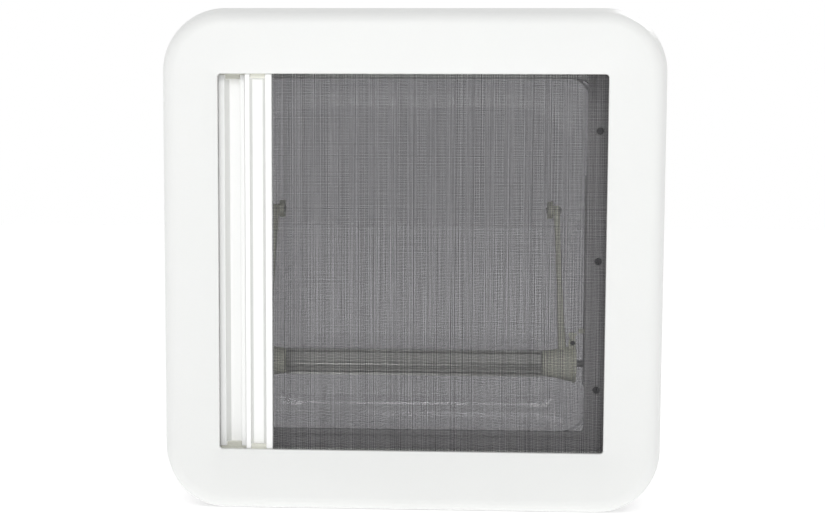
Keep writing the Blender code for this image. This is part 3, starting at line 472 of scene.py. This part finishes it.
def makeShell():
    rimX, rimZ, front, back = shellHigh.x, shellHigh.z, shellLow.y, shellHigh.y
    openX, openZ = shell["opening"]
    turn = np.radians(np.linspace(0, 90, shell["rollSteps"] + 1))

    def roll(wall):
        inset = shell["rollEnd"] + (shell["rollInset"] - shell["rollEnd"]) * (1 - np.sin(turn)) + wall
        depth = shell["rollDepth"] * (1 - np.cos(turn)) + wall * np.cos(turn)
        corner = shell["rimCorner"] - 0.85 * inset
        return np.column_stack([rimX - inset, rimZ - inset, corner, front + depth])

    def edge(offset, depth):
        return [openX + offset, openZ + offset, shell["openingCorner"] + offset, front + depth]

    def foot(wall):
        return [rimX - wall, rimZ - wall, shell["rimCorner"] - wall, back]

    wall = shell["wall"]
    outside = np.vstack([edge(0, shell["lip"]), edge(0, 0.0), roll(0.0), foot(0.0)])
    inside = np.vstack([foot(wall), roll(wall)[::-1], edge(wall, wall), edge(wall, shell["lip"])])
    rounding = np.full(len(outside) + len(inside), 0.0004)
    rounding[1] = shell["edge"]
    rows = np.vstack([outside, inside])
    return ringPiece("shellMoulding", rows, "shell", "frame", ["inner_frame"], rounding, steps=28)


makeShell()
print("inner frame shell made")


# Sealing collar, ceiling flange and screw ledge, and the outer frame with its gasket and seal.
roofSide = {"collarIn": 0.195, "collarOut": 0.198, "skinGap": 0.0003, "ceiling": -0.034, "flange": 0.0024}
ledge = {
    "inner": 0.173, "corner": 0.004, "topRise": 0.0132, "wall": 0.005, "lipWidth": 0.005, "lipRise": 0.0012,
    "groove": 0.003, "sink": 0.0026, "screwX": 0.185, "screwRows": (0.130, 0.0, -0.130), "headRoom": 0.0042,
    "outerCorner": 0.019, "overshoot": 0.004,
}


def squareRows(rows):
    # Rows of (half size, corner radius, y) as sections of a square ring.
    half, corner, y = np.asarray(rows, float).T
    return np.column_stack([half, half, corner, y])


collar = {
    "flangeOut": 0.220, "flangeCorner": 0.032, "outerCorner": 0.022, "innerCorner": 0.019,
    "grooves": (-0.010, -0.018, -0.026), "grooveCorner": 0.0196, "grooveDepth": 0.0006,
    "grooveHalf": 0.0012, "grooveFloorHalf": 0.0004,
}


def makeCollar():
    low = roofSide["ceiling"] - roofSide["flange"]
    inner, outer, gap = roofSide["collarIn"], roofSide["collarOut"], roofSide["skinGap"]
    innerCorner, outerCorner = collar["innerCorner"], collar["outerCorner"]
    flange = [(outer + gap, outerCorner, low), (collar["flangeOut"], collar["flangeCorner"], low)]
    flange += [(collar["flangeOut"], collar["flangeCorner"], low + roofSide["flange"])]
    flange += [(outer + gap, outerCorner, low + roofSide["flange"])]
    ringPiece("ceilingFlange", squareRows(flange), "collar", "frame", ["mounting_flange"])
    # three shallow grooves run round the collar's inside face
    steps = [(inner, innerCorner, low), (outer, outerCorner, low), (outer, outerCorner, 0.0)]
    steps += [(inner, innerCorner, 0.0)]
    deep = inner + collar["grooveDepth"]
    for y in collar["grooves"]:
        steps += [(inner, innerCorner, y + collar["grooveHalf"])]
        steps += [(deep, collar["grooveCorner"], y + collar["grooveFloorHalf"])]
        steps += [(deep, collar["grooveCorner"], y - collar["grooveFloorHalf"])]
        steps += [(inner, innerCorner, y - collar["grooveHalf"])]
    ringPiece("roofCollar", squareRows(steps), "collar", "frame", ["mounting_collar"], rounding=0.0002)


def makeLedge():
    out, low = roofSide["collarIn"] - roofSide["skinGap"], -ledge["wall"]
    inner = ledge["inner"]
    lipOut = inner + ledge["lipWidth"]
    grooveOut, lift, corner = lipOut + ledge["groove"], ledge["topRise"] / 2, ledge["corner"]
    opening = [(inner, 0.0), (inner, low - ledge["lipRise"]), (lipOut, low - ledge["lipRise"])]
    opening += [(lipOut, low + ledge["lipRise"]), (grooveOut, low + ledge["lipRise"]), (grooveOut, low)]
    rows = [(out, out, ledge["outerCorner"], 0.0, 0.0)]
    rows += [(half, half + lift, corner, y, lift) for half, y in opening]
    rows += [(out, out, ledge["outerCorner"], low, 0.0)]
    piece = ringPiece("screwLedge", rows, "collar", "frame", ["mounting_ledge"])
    holes = []
    for side in (-1, 1):
        for z in ledge["screwRows"]:
            stations = [(low - ledge["overshoot"], ledge["headRoom"]),
                        (low + ledge["sink"], ledge["headRoom"])]
            holes.append(turnedPiece("hole", "Y", (side * ledge["screwX"], z), stations, "collar", "frame",
                                     steps=32))
    cutAway(piece, holes)
    piece.data.set_sharp_from_angle(angle=math.radians(35))


# Half size, corner radius and y of each row: up the upstand, down over its foot and out along the flange.
roofFrame = {
    "rows": (
        (0.183, 0.018, 0.0003), (0.183, 0.018, 0.024), (0.186, 0.021, 0.024), (0.186, 0.021, 0.010),
        (0.191, 0.024, 0.008), (0.191, 0.024, 0.005), (0.230, 0.046, 0.005), (0.232, 0.048, 0.0035),
        (0.232, 0.048, 0.002), (0.1995, 0.026, 0.002), (0.1995, 0.026, 0.0003),
    ),
    "rounding": 0.0008,
}
gasket = {
    "rows": (
        (0.200, 0.022, 0.0001), (0.228, 0.044, 0.0001), (0.2284, 0.0444, 0.0009), (0.228, 0.044, 0.0017),
        (0.200, 0.022, 0.0017),
    ),
    "rounding": 0.0003,
}


def makeOuterFrame():
    ringPiece("roofFrame", squareRows(roofFrame["rows"]), "shell", "frame", ["outer_frame"],
              roofFrame["rounding"])
    ringPiece("roofGasket", squareRows(gasket["rows"]), "rubber", "frame", ["flange_gasket"],
              gasket["rounding"])


# Bulb seal: a round bead on a flat foot, under the pane's rim.
seal = {
    "middle": 0.1855, "low": 0.0243, "bulb": 0.0021, "rise": 0.0047, "bulbFrom": -35, "bulbTo": 215,
    "bulbPoints": 15,
    "footHalf": 0.0021, "footHigh": 0.0009, "corner": 0.020,
}


def makeSeal():
    turn = np.radians(np.linspace(seal["bulbFrom"], seal["bulbTo"], seal["bulbPoints"]))
    centre = seal["low"] + seal["rise"] - seal["bulb"]
    x = seal["middle"] + seal["bulb"] * np.cos(turn)
    y = centre + seal["bulb"] * np.sin(turn)
    left, right = seal["middle"] - seal["footHalf"], seal["middle"] + seal["footHalf"]
    high = seal["low"] + seal["footHigh"]
    x = np.concatenate([x, [left, left, right, right]])
    y = np.concatenate([y, [high, seal["low"], seal["low"], high]])
    rows = squareRows(np.column_stack([x, x * 0 + seal["corner"], y]))
    ringPiece("bulbSeal", rows, "rubber", "frame", ["dome_seal"], rounding=0.0002)


makeCollar()
makeLedge()
makeOuterFrame()
makeSeal()
print("collar, ledge, roof frame and seals made")


# Frame screws: pan heads with a cross recess.
screw = {"headRadius": 0.0034, "head": 0.0022, "neck": 0.0018, "length": 0.010, "crossReach": 0.0020,
         "crossHalf": 0.00042, "crossDepth": 0.0012, "crown": 0.0006, "around": 64}


def makeScrews():
    # The head's height is crown (1 - (r/R)^2), less the cross where either arm's smooth step is up.
    radius = np.concatenate([np.linspace(0.00004, 0.92, 20), [0.97, 1.0]]) * screw["headRadius"]
    angle = np.radians(360.0 * np.arange(screw["around"]) / screw["around"])
    a, b = radius[:, None] * np.cos(angle), radius[:, None] * np.sin(angle)

    def arm(along, across):
        inLength = 1 / (1 + np.exp((np.abs(along) - screw["crossReach"]) / 0.00008))
        return inLength / (1 + np.exp((np.abs(across) - screw["crossHalf"]) / 0.00005))

    bowl = screw["crown"] * (radius[:, None] / screw["headRadius"]) ** 2
    rise = bowl + screw["crossDepth"] * np.maximum(arm(a, b), arm(b, a))
    under = [(screw["head"], screw["headRadius"]), (screw["head"], screw["neck"]),
             (screw["length"], screw["neck"]),
             (screw["length"] + screw["head"], 0.0006)]
    stem = np.array(under)
    depth = np.vstack([rise, stem[:, :1] + 0 * angle])
    a = np.vstack([a, stem[:, 1:] * np.cos(angle)])
    b = np.vstack([b, stem[:, 1:] * np.sin(angle)])
    rows = len(depth)
    faces = gridFaces(rows, screw["around"])
    faces += [list(range(screw["around"])), list(range((rows - 1) * screw["around"], rows * screw["around"]))]
    low = -ledge["wall"] + ledge["sink"] - roofSide["skinGap"] - screw["head"]
    places = [(side * ledge["screwX"], z) for side in (-1, 1) for z in ledge["screwRows"]]
    for number, (x, z) in enumerate(places, 1):
        turn = 0.7 * number  # each was driven home at its own angle
        points = np.stack([x + a * math.cos(turn) - b * math.sin(turn), low + depth,
                           z + a * math.sin(turn) + b * math.cos(turn)], axis=-1)
        addPiece(f"screw{number}", points, faces, "darkZinc", "frame", [f"frame_screw_{number}"],
                 smoothAngle=50)


makeScrews()
print("screws made")


# Panes: two shells of smoked acrylic. Height follows the inset from the edge through fixed points.
def smoothThrough(knotX, knotY, x):
    # Cubic Hermite curve through the knots, with slopes that are harmonic means, so it never overshoots.
    knotX, knotY = np.asarray(knotX, float), np.asarray(knotY, float)
    step = np.diff(knotX)
    slope = np.diff(knotY) / step
    inner = 2 * slope[1:] * slope[:-1] / np.maximum(slope[1:] + slope[:-1], 1e-9)
    tangent = np.concatenate([[slope[0] * 1.5], inner, [0.0]])
    i = np.clip(np.searchsorted(knotX, x, side="right") - 1, 0, len(step) - 1)
    t = (x - knotX[i]) / step[i]
    first = (1 + 2 * t) * (1 - t) ** 2 * knotY[i] + t * (1 - t) ** 2 * step[i] * tangent[i]
    return first + t ** 2 * (3 - 2 * t) * knotY[i + 1] + t ** 2 * (t - 1) * step[i] * tangent[i + 1]


dome = {
    "half": 0.196, "skirtLow": 0.008, "base": 0.0319, "top": 0.074, "wall": 0.003, "corner": 0.045,
    "rings": 40,
    "inset": (0.0, 0.004, 0.014, 0.032, 0.070, 0.130, 0.190),
    "share": (0.0, 0.45, 0.78, 0.94, 0.985, 0.997, 1.0),
}
innerPane = {
    "half": 0.1926, "rimInner": 0.181, "topRise": 0.007, "low": 0.0293, "top": 0.066, "wall": 0.002,
    "rings": 24,
    "inset": (0.0, 0.006, 0.014, 0.024, 0.034), "share": (0.0, 0.45, 0.82, 0.97, 1.0),
}


def paneRows(half, rise, wall=0.0):
    # The corner radius grows as the section shrinks, so the dome is a pillow.
    radius = np.maximum(dome["corner"] * 0.6 + (dome["half"] - half) * 0.55 - wall, 0.002)
    rise = rise + 0 * half
    return np.column_stack([half - wall, half - wall, radius, rise])


def cappedLoops(name, sections, look, body, replaced, steps=20, **more):
    # Loops from the first section to the last, each end closed by one flat face.
    loops = roundedLoops(sections, steps)
    rows, count = loops.shape[:2]
    caps = [list(range(count)), list(range((rows - 1) * count, rows * count))]
    return addPiece(name, loops, gridFaces(rows, count) + caps, look, body, replaced, **more)


def makePanes():
    spread = np.linspace(0, 1, dome["rings"]) ** 1.8
    inset = dome["inset"][-1] * spread
    share = smoothThrough(dome["inset"], dome["share"], inset)
    rise = dome["base"] + (dome["top"] - dome["base"]) * share
    half = dome["half"] - inset
    outside = paneRows(half, rise)
    inside = paneRows(half, rise - dome["wall"] * share, dome["wall"] * (1 - share))
    foot = filleted([(dome["skirtLow"] + 0.004, 0.0), (dome["skirtLow"], 0.0),
                     (dome["skirtLow"], dome["wall"]),
                     (dome["skirtLow"] + 0.004, dome["wall"])], 0.0008, closed=False)
    skirt = np.vstack([paneRows(np.array([dome["half"]]), y, wall) for y, wall in foot])
    cappedLoops("domePane", np.vstack([outside[::-1], skirt, inside]), "pane", "sash", ["outer_pane"])

    spread = np.linspace(0, 1, innerPane["rings"])
    inset = innerPane["inset"][-1] * spread
    share = smoothThrough(innerPane["inset"], innerPane["share"], inset)
    wall = innerPane["wall"]
    under = innerPane["low"] + (innerPane["top"] - wall - innerPane["low"]) * share
    half = innerPane["rimInner"] - inset
    below = paneRows(half, under)
    above = paneRows(half + wall * (1 - share), under + wall)
    rimLevels = (innerPane["low"], innerPane["low"] + wall)
    rim = np.vstack([paneRows(np.array([innerPane["half"]]), y) for y in rimLevels])
    # the tray reaches further up than down, inside a rim that stays square
    trayLift = np.full(len(half), innerPane["topRise"] / 2)
    lift = np.concatenate([trayLift, [0.0, 0.0], trayLift])
    sections = np.column_stack([np.vstack([below[::-1], rim, above]), lift])
    sections[:, 1] += lift
    cappedLoops("innerPane", sections, "pane", "sash", ["inner_pane"])


makePanes()
print("panes made")


# Crank bar: an extruded crossbar between two flared hubs, each with a tapered arm up to its lug.
crank = {
    "y": 0.020, "z": -0.107, "barHalf": 0.1315, "tall": 0.026, "deep": 0.015, "hubIn": 0.1318,
    "hubOut": 0.1658,
    "hubEnd": 0.0195, "flare": 1.4, "hubSteps": 12, "lugY": 0.058, "lugZ": 0.049, "armX": 0.1452,
    "splay": 0.0036,
}
# Places down the crossbar's face, as (inward from the front, down from the top): a notch under the top
# edge, a tall face leaning back, a raised bead, two grooves with a rib between them, and a lip at the foot.
crossbar = {
    "face": (
        (0.0012, 0.0), (0.0010, 0.0010), (0.0034, 0.0013), (0.0034, 0.0022), (0.0012, 0.0027),
        (0.0024, 0.0134),
        (0.0006, 0.0138), (0.0, 0.0160), (0.0030, 0.0172), (0.0030, 0.0186), (0.0014, 0.0190),
        (0.0014, 0.0211),
        (0.0046, 0.0214), (0.0046, 0.0229), (0.0016, 0.0233), (0.0006, 0.0260),
    ),
    "rearIn": 0.0030, "rearUp": 0.0040, "faceRounding": 0.0004, "rearRounding": 0.002,
}


def makeCrossbar():
    front, back = crank["y"] - crank["deep"] / 2, crank["y"] + crank["deep"] / 2
    top, low = crank["z"] + crank["tall"] / 2, crank["z"] - crank["tall"] / 2
    face = [(front + inward, top - down) for inward, down in crossbar["face"]]
    slant, up = back - crossbar["rearIn"], crossbar["rearUp"]
    rear = [(slant, low), (back, low + up), (back, top - up), (slant, top)]
    rounding = [crossbar["faceRounding"]] * len(face) + [crossbar["rearRounding"]] * len(rear)
    outline = filleted(face + rear, rounding, steps=4)
    half = crank["barHalf"]
    sweptPiece("crankCrossbar", outline, "X", -half, half, "crossbar", "crank_bar", ["crossbar"])


# The hub's rim, as (inward from its outer end, below the end radius), and its boss, as (inward, radius).
hub = {
    "rim": (
        (0.0048, 0.0012), (0.0042, 0.0020), (0.0034, 0.0020), (0.0030, 0.0), (0.0, 0.0), (0.0, 0.0030),
        (0.0016, 0.0040),
    ),
    "boss": ((0.0016, 0.0062), (0.0, 0.0056), (0.0, 0.0040), (0.010, 0.0039)),
    "mouth": 0.0060, "mouthStep": 0.0004,
}
ear = {"inner": 0.1585, "outer": 0.1656, "low": 0.008, "high": 0.0265, "front": 0.0124, "back": 0.0152,
       "topRound": 0.003, "footRound": 0.0002}


def makeHub(label, side):
    # Radius grows from the bar's half height to the end radius with the share of the length to a power.
    share = np.linspace(0, 1, crank["hubSteps"] + 1)
    radius = crank["tall"] / 2 + (crank["hubEnd"] - crank["tall"] / 2) * share ** crank["flare"]
    along = crank["hubIn"] + (crank["hubOut"] - crank["hubIn"]) * share
    body = np.column_stack([along, radius])[:-2]
    rim = [(crank["hubOut"] - inward, crank["hubEnd"] - down) for inward, down in hub["rim"]]
    boss = [(crank["hubOut"] - inward, radius) for inward, radius in hub["boss"]]
    lead = [(crank["hubIn"], hub["mouth"]), (crank["hubIn"], crank["tall"] / 2 - hub["mouthStep"])]
    stations = np.vstack([lead, body[1:], rim, boss])
    stations[:, 0] *= side
    turnedPiece(f"hub{label.title()}", "X", (crank["y"], crank["z"]), stations, "hub", "crank_bar",
                [f"crank_hub_{label}"], rounding=0.0006, steps=72)
    # ear behind the catch, rounded at its top corners
    low, high = crank["z"] + ear["low"], crank["z"] + ear["high"]
    corners = np.column_stack([side * np.repeat([ear["inner"], ear["outer"]], 2), [low, high, high, low]])
    outline = filleted(corners, [ear["footRound"], ear["topRound"], ear["topRound"], ear["footRound"]], 6)
    sweptPiece(f"catchEar{label.title()}", outline, "Y", ear["front"], ear["back"], "hub", "crank_bar")


arm = {"eye": 0.005, "widen": 0.0025, "thick": 0.006, "thicken": 0.002, "dish": 0.0009, "dishFrom": 0.012,
       "dishShort": 0.040, "around": 32, "eyeRows": 9, "rows": 24, "footShort": 0.006}


def makeArm(label, side):
    # Loft of rounded rectangles from above the pin to the hub: |u|^4 + |v|^4 = 1, scaled to the local width.
    lug, foot = np.array([crank["lugY"], crank["lugZ"]]), np.array([crank["y"], crank["z"]])
    length = np.linalg.norm(foot - lug)
    along = (foot - lug) / length
    across = np.array([-along[1], along[0]])
    eye, around = arm["eye"], arm["around"]
    roundEnd = -eye * np.cos(np.radians(np.linspace(3, 90, arm["eyeRows"])))
    distance = np.concatenate([roundEnd, np.linspace(0.004, length - arm["footShort"], arm["rows"])])
    share = np.clip(distance / length, 0, 1)
    halfWidth = np.where(distance < 0, np.sqrt(np.maximum(eye ** 2 - distance ** 2, 1e-9)),
                         eye + arm["widen"] * share)
    thick = arm["thick"] + arm["thicken"] * share
    dished = np.clip((distance - arm["dishFrom"]) / (length - arm["dishShort"]), 0, 1)
    dish = arm["dish"] * np.sin(np.pi * dished)
    turn = np.radians(360.0 * np.arange(around) / around)
    u = np.sign(np.cos(turn)) * np.abs(np.cos(turn)) ** 0.5
    v = np.sign(np.sin(turn)) * np.abs(np.sin(turn)) ** 0.5
    width = halfWidth[:, None] * u
    # the broad faces are dished between raised edges, as moulded levers are
    x = crank["armX"] + crank["splay"] * share[:, None] + thick[:, None] * (0.5 + 0.5 * v)
    x = x - np.sign(v) * dish[:, None] * np.clip(1 - np.abs(u) ** 6, 0, 1)
    y = lug[0] + along[0] * distance[:, None] + across[0] * width
    z = lug[1] + along[1] * distance[:, None] + across[1] * width
    points = np.stack([side * x, y, z], axis=-1)
    rows = len(distance)
    caps = [list(range(around)), list(range((rows - 1) * around, rows * around))]
    addPiece(f"arm{label.title()}", points, gridFaces(rows, around) + caps, "hub", "crank_bar",
             [f"crank_arm_{label}"], smoothAngle=50)


makeCrossbar()
for label, side in sides:
    makeHub(label, side)
    makeArm(label, side)
    for node, look, body in (
        ("crank_lug", "hub", "sash"), ("lug_pin", "zinc", "sash"), ("end_pin", "zinc", "crank_bar"),
        ("catch_pin", "darkZinc", "crank_bar"), ("slide_shoe", "beige", "slide_shoes"),
        ("hinge_strap", "shell", "sash"), ("hinge_bracket", "shell", "frame"), ("hinge_pin", "zinc", "frame"),
        ("slide_track", "track", "frame"), ("catch_stud", "hub", "frame"), ("catch", "hub", f"catch_{label}"),
    ):
        softenedCopy(f"{node}_{label}", look, body)
print("crank bar, hinges, tracks and catches made")


# Guide rails, anchors, pull bars and their end caps.
bars = {
    "blackout": {"leftRidge": 0.0060, "rightRidge": 0.0045, "leftCove": 0.0062, "rightCove": 0.0014},
    "screen": {"leftRidge": 0.0045, "rightRidge": 0.0060, "leftCove": 0.0030, "rightCove": 0.0052},
    # the grey sheets laid in the coves are painted shade; their share of the cove, thickness and shortening
    # at the ends follow coveSteps
    "recess": 0.0066, "ridgeEdge": 0.0007, "coveSteps": 8, "shadeSheetShare": 0.75, "shadeSheetThick": 0.0002,
    "shadeSheetShort": 0.004,
    "coveTop": 0.0010, "coveBend": 0.35, "coveLift": 0.0006, "backStep": 0.0008, "backIn": 0.004,
    "backOut": 0.005,
    "flankEdge": 0.0006, "narrowCove": 0.002,
}


def makePullBar(kind):
    # Section: two ridges with rounded tops, a finger recess, and a shallow step across the back. Each side
    # of the recess is a cove, the curve (1-t)^2 a + 2t(1-t) b + t^2 c from the ridge's edge a, past b below
    # it, to the floor.
    bar = bars[kind]
    low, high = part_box(f"{kind}_pull_bar")
    left, right, front, back = low.x, high.x, low.y, high.y
    ridgeLeft, ridgeRight = left + bar["leftRidge"], right - bar["rightRidge"]
    edge, floor = bars["ridgeEdge"], front + bars["recess"]
    t = np.linspace(0, 1, bars["coveSteps"])[:, None]

    def cove(ridge, reach):
        bend = [ridge + bars["coveBend"] * reach, floor - bars["coveLift"]]
        a, b, c = np.array([[ridge, front + bars["coveTop"]], bend, [ridge + reach, floor]])
        return ((1 - t) ** 2 * a + 2 * t * (1 - t) * b + t ** 2 * c).tolist()

    outline = [(left, back), (left, front), (ridgeLeft, front)] + cove(ridgeLeft, bar["leftCove"])
    outline += cove(ridgeRight, -bar["rightCove"])[::-1]
    outline += [(ridgeRight, front), (right, front), (right, back)]
    near, far, step = bars["backIn"], bars["backOut"], back - bars["backStep"]
    outline += [(right - near, back), (right - far, step), (left + far, step), (left + near, back)]
    flank = bars["flankEdge"]
    rounding = [flank, edge, edge] + [0.0001] * 2 * len(t) + [edge, edge, flank] + [0.0003] * 4
    sweptPiece(f"{kind}BarProfile", filleted(outline, rounding, steps=4), "Z", low.z, high.z, "bar",
               f"{kind}_bar", [f"{kind}_pull_bar"], bevel=0.0)
    # a thin grey sheet of painted shade lies on each broad cove, from the ridge's edge most of the way to the
    # floor
    kept = int(round(bars["shadeSheetShare"] * len(t)))
    for end, ridge, reach in (("Left", ridgeLeft, bar["leftCove"]), ("Right", ridgeRight, -bar["rightCove"])):
        if abs(reach) > bars["narrowCove"]:
            strip = np.array(cove(ridge, reach))[:kept]
            ring = np.vstack([strip - [0, bars["shadeSheetThick"]], strip[::-1] + [0, bars["shadeSheetThick"]]])
            sweptPiece(f"{kind}ShadeSheet{end}", ring, "Z", low.z + bars["shadeSheetShort"], high.z - bars["shadeSheetShort"],
                       "paintedCoveShade", f"{kind}_bar", bevel=0.0)
    for end in ("top", "bottom"):
        softenedCopy(f"{kind}_bar_cap_{end}", "beige", f"{kind}_bar")


for kind in ("blackout", "screen"):
    makePullBar(kind)
for node in ("guide_rail_top", "guide_rail_bottom", "screen_anchor", "blackout_anchor"):
    softenedCopy(node, "rail", "frame", bevel=0.0002)
print("rails and pull bars made")


# Insect net: real threads along a pleated path. Each thread is a three-sided prism.
net = {"pitch": 0.0014, "thread": 0.00036, "folds": 38, "wander": 0.00024, "seed": 11, "heights": 13}


def pleatPath(start, end, middle, half, folds):
    # Zigzag between the two faces of the blind; gives the places of the folds and the cloth length up to
    # each.
    x = np.linspace(start, end, folds + 1)
    y = middle + half * np.where(np.arange(folds + 1) % 2, 1.0, -1.0)
    along = np.concatenate([[0.0], np.cumsum(np.hypot(np.diff(x), np.diff(y)))])
    return x, y, along


def wanderOf(random, count, stations, size):
    # A slow random waver for each thread: running means of random numbers along it.
    raw = random.normal(0.0, 1.0, (count, stations + 4))
    smooth = (raw[:, :-4] + 2 * raw[:, 1:-3] + 3 * raw[:, 2:-2] + 2 * raw[:, 3:-1] + raw[:, 4:]) / 4.36
    return size * smooth


def prismFaces(threads, stations):
    # Three strips of quads and two end triangles for each thread.
    one = np.array(gridFaces(stations, 3))
    shift = np.arange(threads)[:, None, None] * stations * 3
    quads = (one[None] + shift).reshape(-1, 4).tolist()
    first = np.arange(threads)[:, None] * stations * 3
    ends = np.concatenate([first + [0, 1, 2], first + (stations - 1) * 3 + [2, 1, 0]]).tolist()
    return quads + ends


def makeNet():
    low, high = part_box("screen_net")
    random = np.random.default_rng(net["seed"])
    size = net["thread"] / math.sqrt(3)
    reach = high.y - low.y - 2 * size - 0.0004
    x, y, along = pleatPath(low.x + size, high.x - size, (low.y + high.y) / 2, reach / 2, net["folds"])
    corner = np.radians([90, 210, 330])
    margin = size * 1.2

    upright = int(along[-1] / net["pitch"])
    place = (np.arange(upright) + 0.5) * along[-1] / upright
    place = place + random.normal(0, 0.10 * net["pitch"], upright)
    stations = net["heights"]
    at = np.clip(place[:, None] + wanderOf(random, upright, stations, net["wander"]), 0, along[-1])
    height = np.linspace(low.z + margin, high.z - margin, stations)
    px, py = np.interp(at, along, x), np.interp(at, along, y)
    thick = size * (1 + random.normal(0, 0.12, (upright, 1, 1)).clip(-0.3, 0.3))
    points = np.stack([px[..., None] + thick * np.cos(corner), py[..., None] + thick * np.sin(corner),
                       height[None, :, None] + 0 * px[..., None] + 0 * corner], axis=-1)
    faces = prismFaces(upright, stations)

    level = int((high.z - low.z) / net["pitch"])
    z = low.z + (np.arange(level) + 0.5) * (high.z - low.z) / level
    z = z + random.normal(0, 0.10 * net["pitch"], level)
    z = z[:, None] + wanderOf(random, level, len(x), 0.00010)
    z = np.clip(z, low.z + margin, high.z - margin)
    blank = 0 * z[..., None] + 0 * corner
    crossed = np.stack([x[None, :, None] + blank, y[None, :, None] + size * np.sin(corner) + blank,
                        z[..., None] + size * np.cos(corner)], axis=-1)
    shift = upright * stations * 3
    faces += [[i + shift for i in face] for face in prismFaces(level, len(x))]
    points = np.concatenate([points.reshape(-1, 3), crossed.reshape(-1, 3)])
    piece = addPiece("screenNet", points, faces, "net", "frame", ["screen_net"], ride=False, smoothAngle=20)
    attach(piece, "frame")
    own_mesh(piece)


# Blackout cloth: a closed thin sheet on its own pleated path, folded up beside its anchor.
blackout = {"folds": 64, "thick": 0.00022, "rows": 9, "endGap": 0.0002, "noseFrom": 0.93, "noseDrop": 0.10}


def foldPlaces(folds):
    # Places whose smooth step 3t^2 - 2t^3 is even, so the pleats spread evenly when the blind is drawn.
    fine = np.linspace(0, 1, 4001)
    return np.interp(np.linspace(0, 1, folds + 1), fine * fine * (3 - 2 * fine), fine)


def makeBlackout():
    low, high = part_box("blackout_pleats")
    half = (high.y - low.y) / 2 - blackout["thick"]
    folds = blackout["folds"]
    x = low.x + blackout["endGap"] + (high.x - low.x - 2 * blackout["endGap"]) * foldPlaces(folds)
    y = (low.y + high.y) / 2 + half * np.where(np.arange(folds + 1) % 2, 1.0, -1.0)
    # each fold is a small nose of three points rather than a knife edge
    nose, drop = blackout["noseFrom"], blackout["noseDrop"]
    xs = np.stack([x[:-1], x[:-1] + (1 - nose) * np.diff(x), x[:-1] + nose * np.diff(x)], axis=1).ravel()
    ys = np.stack([y[:-1], y[:-1] + drop * np.diff(y), y[:-1] + (1 - drop) * np.diff(y)], axis=1).ravel()
    xs, ys = np.append(xs, x[-1]), np.append(ys, y[-1])
    height = np.linspace(low.z, high.z, blackout["rows"])
    level = (len(height), 1)
    back = np.stack([np.tile(xs, level), np.tile(ys, level), np.repeat(height[:, None], len(xs), 1)], -1)
    front = back - [0, blackout["thick"], 0]
    around = np.concatenate([back, front[:, ::-1]], axis=1)
    count = around.shape[1]
    faces = gridFaces(len(height), count)
    strip = np.arange(len(xs) - 1)
    for base in (0, (len(height) - 1) * count):
        across = [base + strip, base + strip + 1, base + count - 2 - strip, base + count - 1 - strip]
        faces += np.stack(across, 1).tolist()
    piece = addPiece("blackoutBlind", around, faces, "blackout", "frame", ["blackout_pleats"], ride=False,
                     smoothAngle=28)
    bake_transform(piece)


makeNet()
makeBlackout()


# Studio: pale floor, a soft white surround that is brighter beyond the roof, one soft lamp and two for the
# gloss.
studio = {"floorHalf": 6.0, "floorGlow": 0.45, "base": 0.635, "lean": 0.38, "towards": (-0.20, 0.95, 0.05)}
lamps = {
    "softLamp": {"place": (0.14, -2.50, 1.05), "size": (0.8, 0.8), "power": 24.0, "seenBy": "matt"},
    "sheenLamp": {"place": (-0.40, -2.50, 1.05), "size": (0.8, 0.8), "power": 9.0, "seenBy": "gloss"},
    "rearLamp": {"place": (1.30, 2.30, 1.70), "size": (0.9, 0.9), "power": 14.0, "seenBy": "gloss"},
}


def placeLamp(name, settings):
    # A flat lamp that faces the window's middle. It lights matt surfaces or shows in glossy ones, never both.
    light = bpy.data.lights.new(name, "AREA")
    light.shape = "RECTANGLE"
    light.size, light.size_y = settings["size"]
    light.energy = settings["power"]
    lamp = bpy.data.objects.new(name, light)
    place = np.array(settings["place"])
    back = place / np.linalg.norm(place)
    right = np.cross([0, 0, 1], back)
    right /= np.linalg.norm(right)
    columns = np.column_stack([right, np.cross(back, right), back, place])
    lamp.matrix_world = Matrix(np.vstack([columns, (0, 0, 0, 1)]).tolist())
    bpy.context.scene.collection.objects.link(lamp)
    lamp.visible_camera = False
    lamp.visible_glossy = settings["seenBy"] == "gloss"
    lamp.visible_diffuse = lamp.visible_transmission = settings["seenBy"] == "matt"


def makeStudio():
    half, z = studio["floorHalf"], cadBox[0][2] - 0.0005
    mesh = bpy.data.meshes.new("floor")
    mesh.from_pydata([(-half, -half, z), (half, -half, z), (half, half, z), (-half, half, z)], [],
                     [(0, 1, 2, 3)])
    floor = bpy.data.objects.new("floor", mesh)
    bpy.context.scene.collection.objects.link(floor)
    material = bpy.data.materials.new("floorWhite")
    material.use_nodes = True
    shader = material.node_tree.nodes["Principled BSDF"]
    shader.inputs["Base Color"].default_value = (0.85, 0.85, 0.85, 1)
    shader.inputs["Roughness"].default_value = 0.9
    shader.inputs["Emission Color"].default_value = (1, 1, 1, 1)
    shader.inputs["Emission Strength"].default_value = studio["floorGlow"]
    mesh.materials.append(material)

    world = bpy.data.worlds.new("surround")
    bpy.context.scene.world = world
    world.use_nodes = True
    tree = world.node_tree
    background = tree.nodes["Background"]
    background.inputs["Color"].default_value = (1, 1, 1, 1)
    direction = addNode(tree, "ShaderNodeTexCoord").outputs["Generated"]
    towards = np.array(studio["towards"]) / np.linalg.norm(studio["towards"])
    facing = addNode(tree, "ShaderNodeVectorMath", {"operation": "DOT_PRODUCT"}, i0=direction,
                     i1=towards.tolist())
    level = calc(tree, "MULTIPLY_ADD", facing.outputs["Value"], studio["lean"], studio["base"])
    seen = addNode(tree, "ShaderNodeLightPath").outputs["Is Camera Ray"]
    strength = calc(tree, "ADD", calc(tree, "MULTIPLY", level, calc(tree, "SUBTRACT", 1.0, seen)), seen)
    tree.links.new(strength, background.inputs["Strength"])

    for name, lamp in lamps.items():
        placeLamp(name, lamp)
    bpy.context.scene.view_settings.view_transform = "Standard"


makeStudio()
print("studio ready")
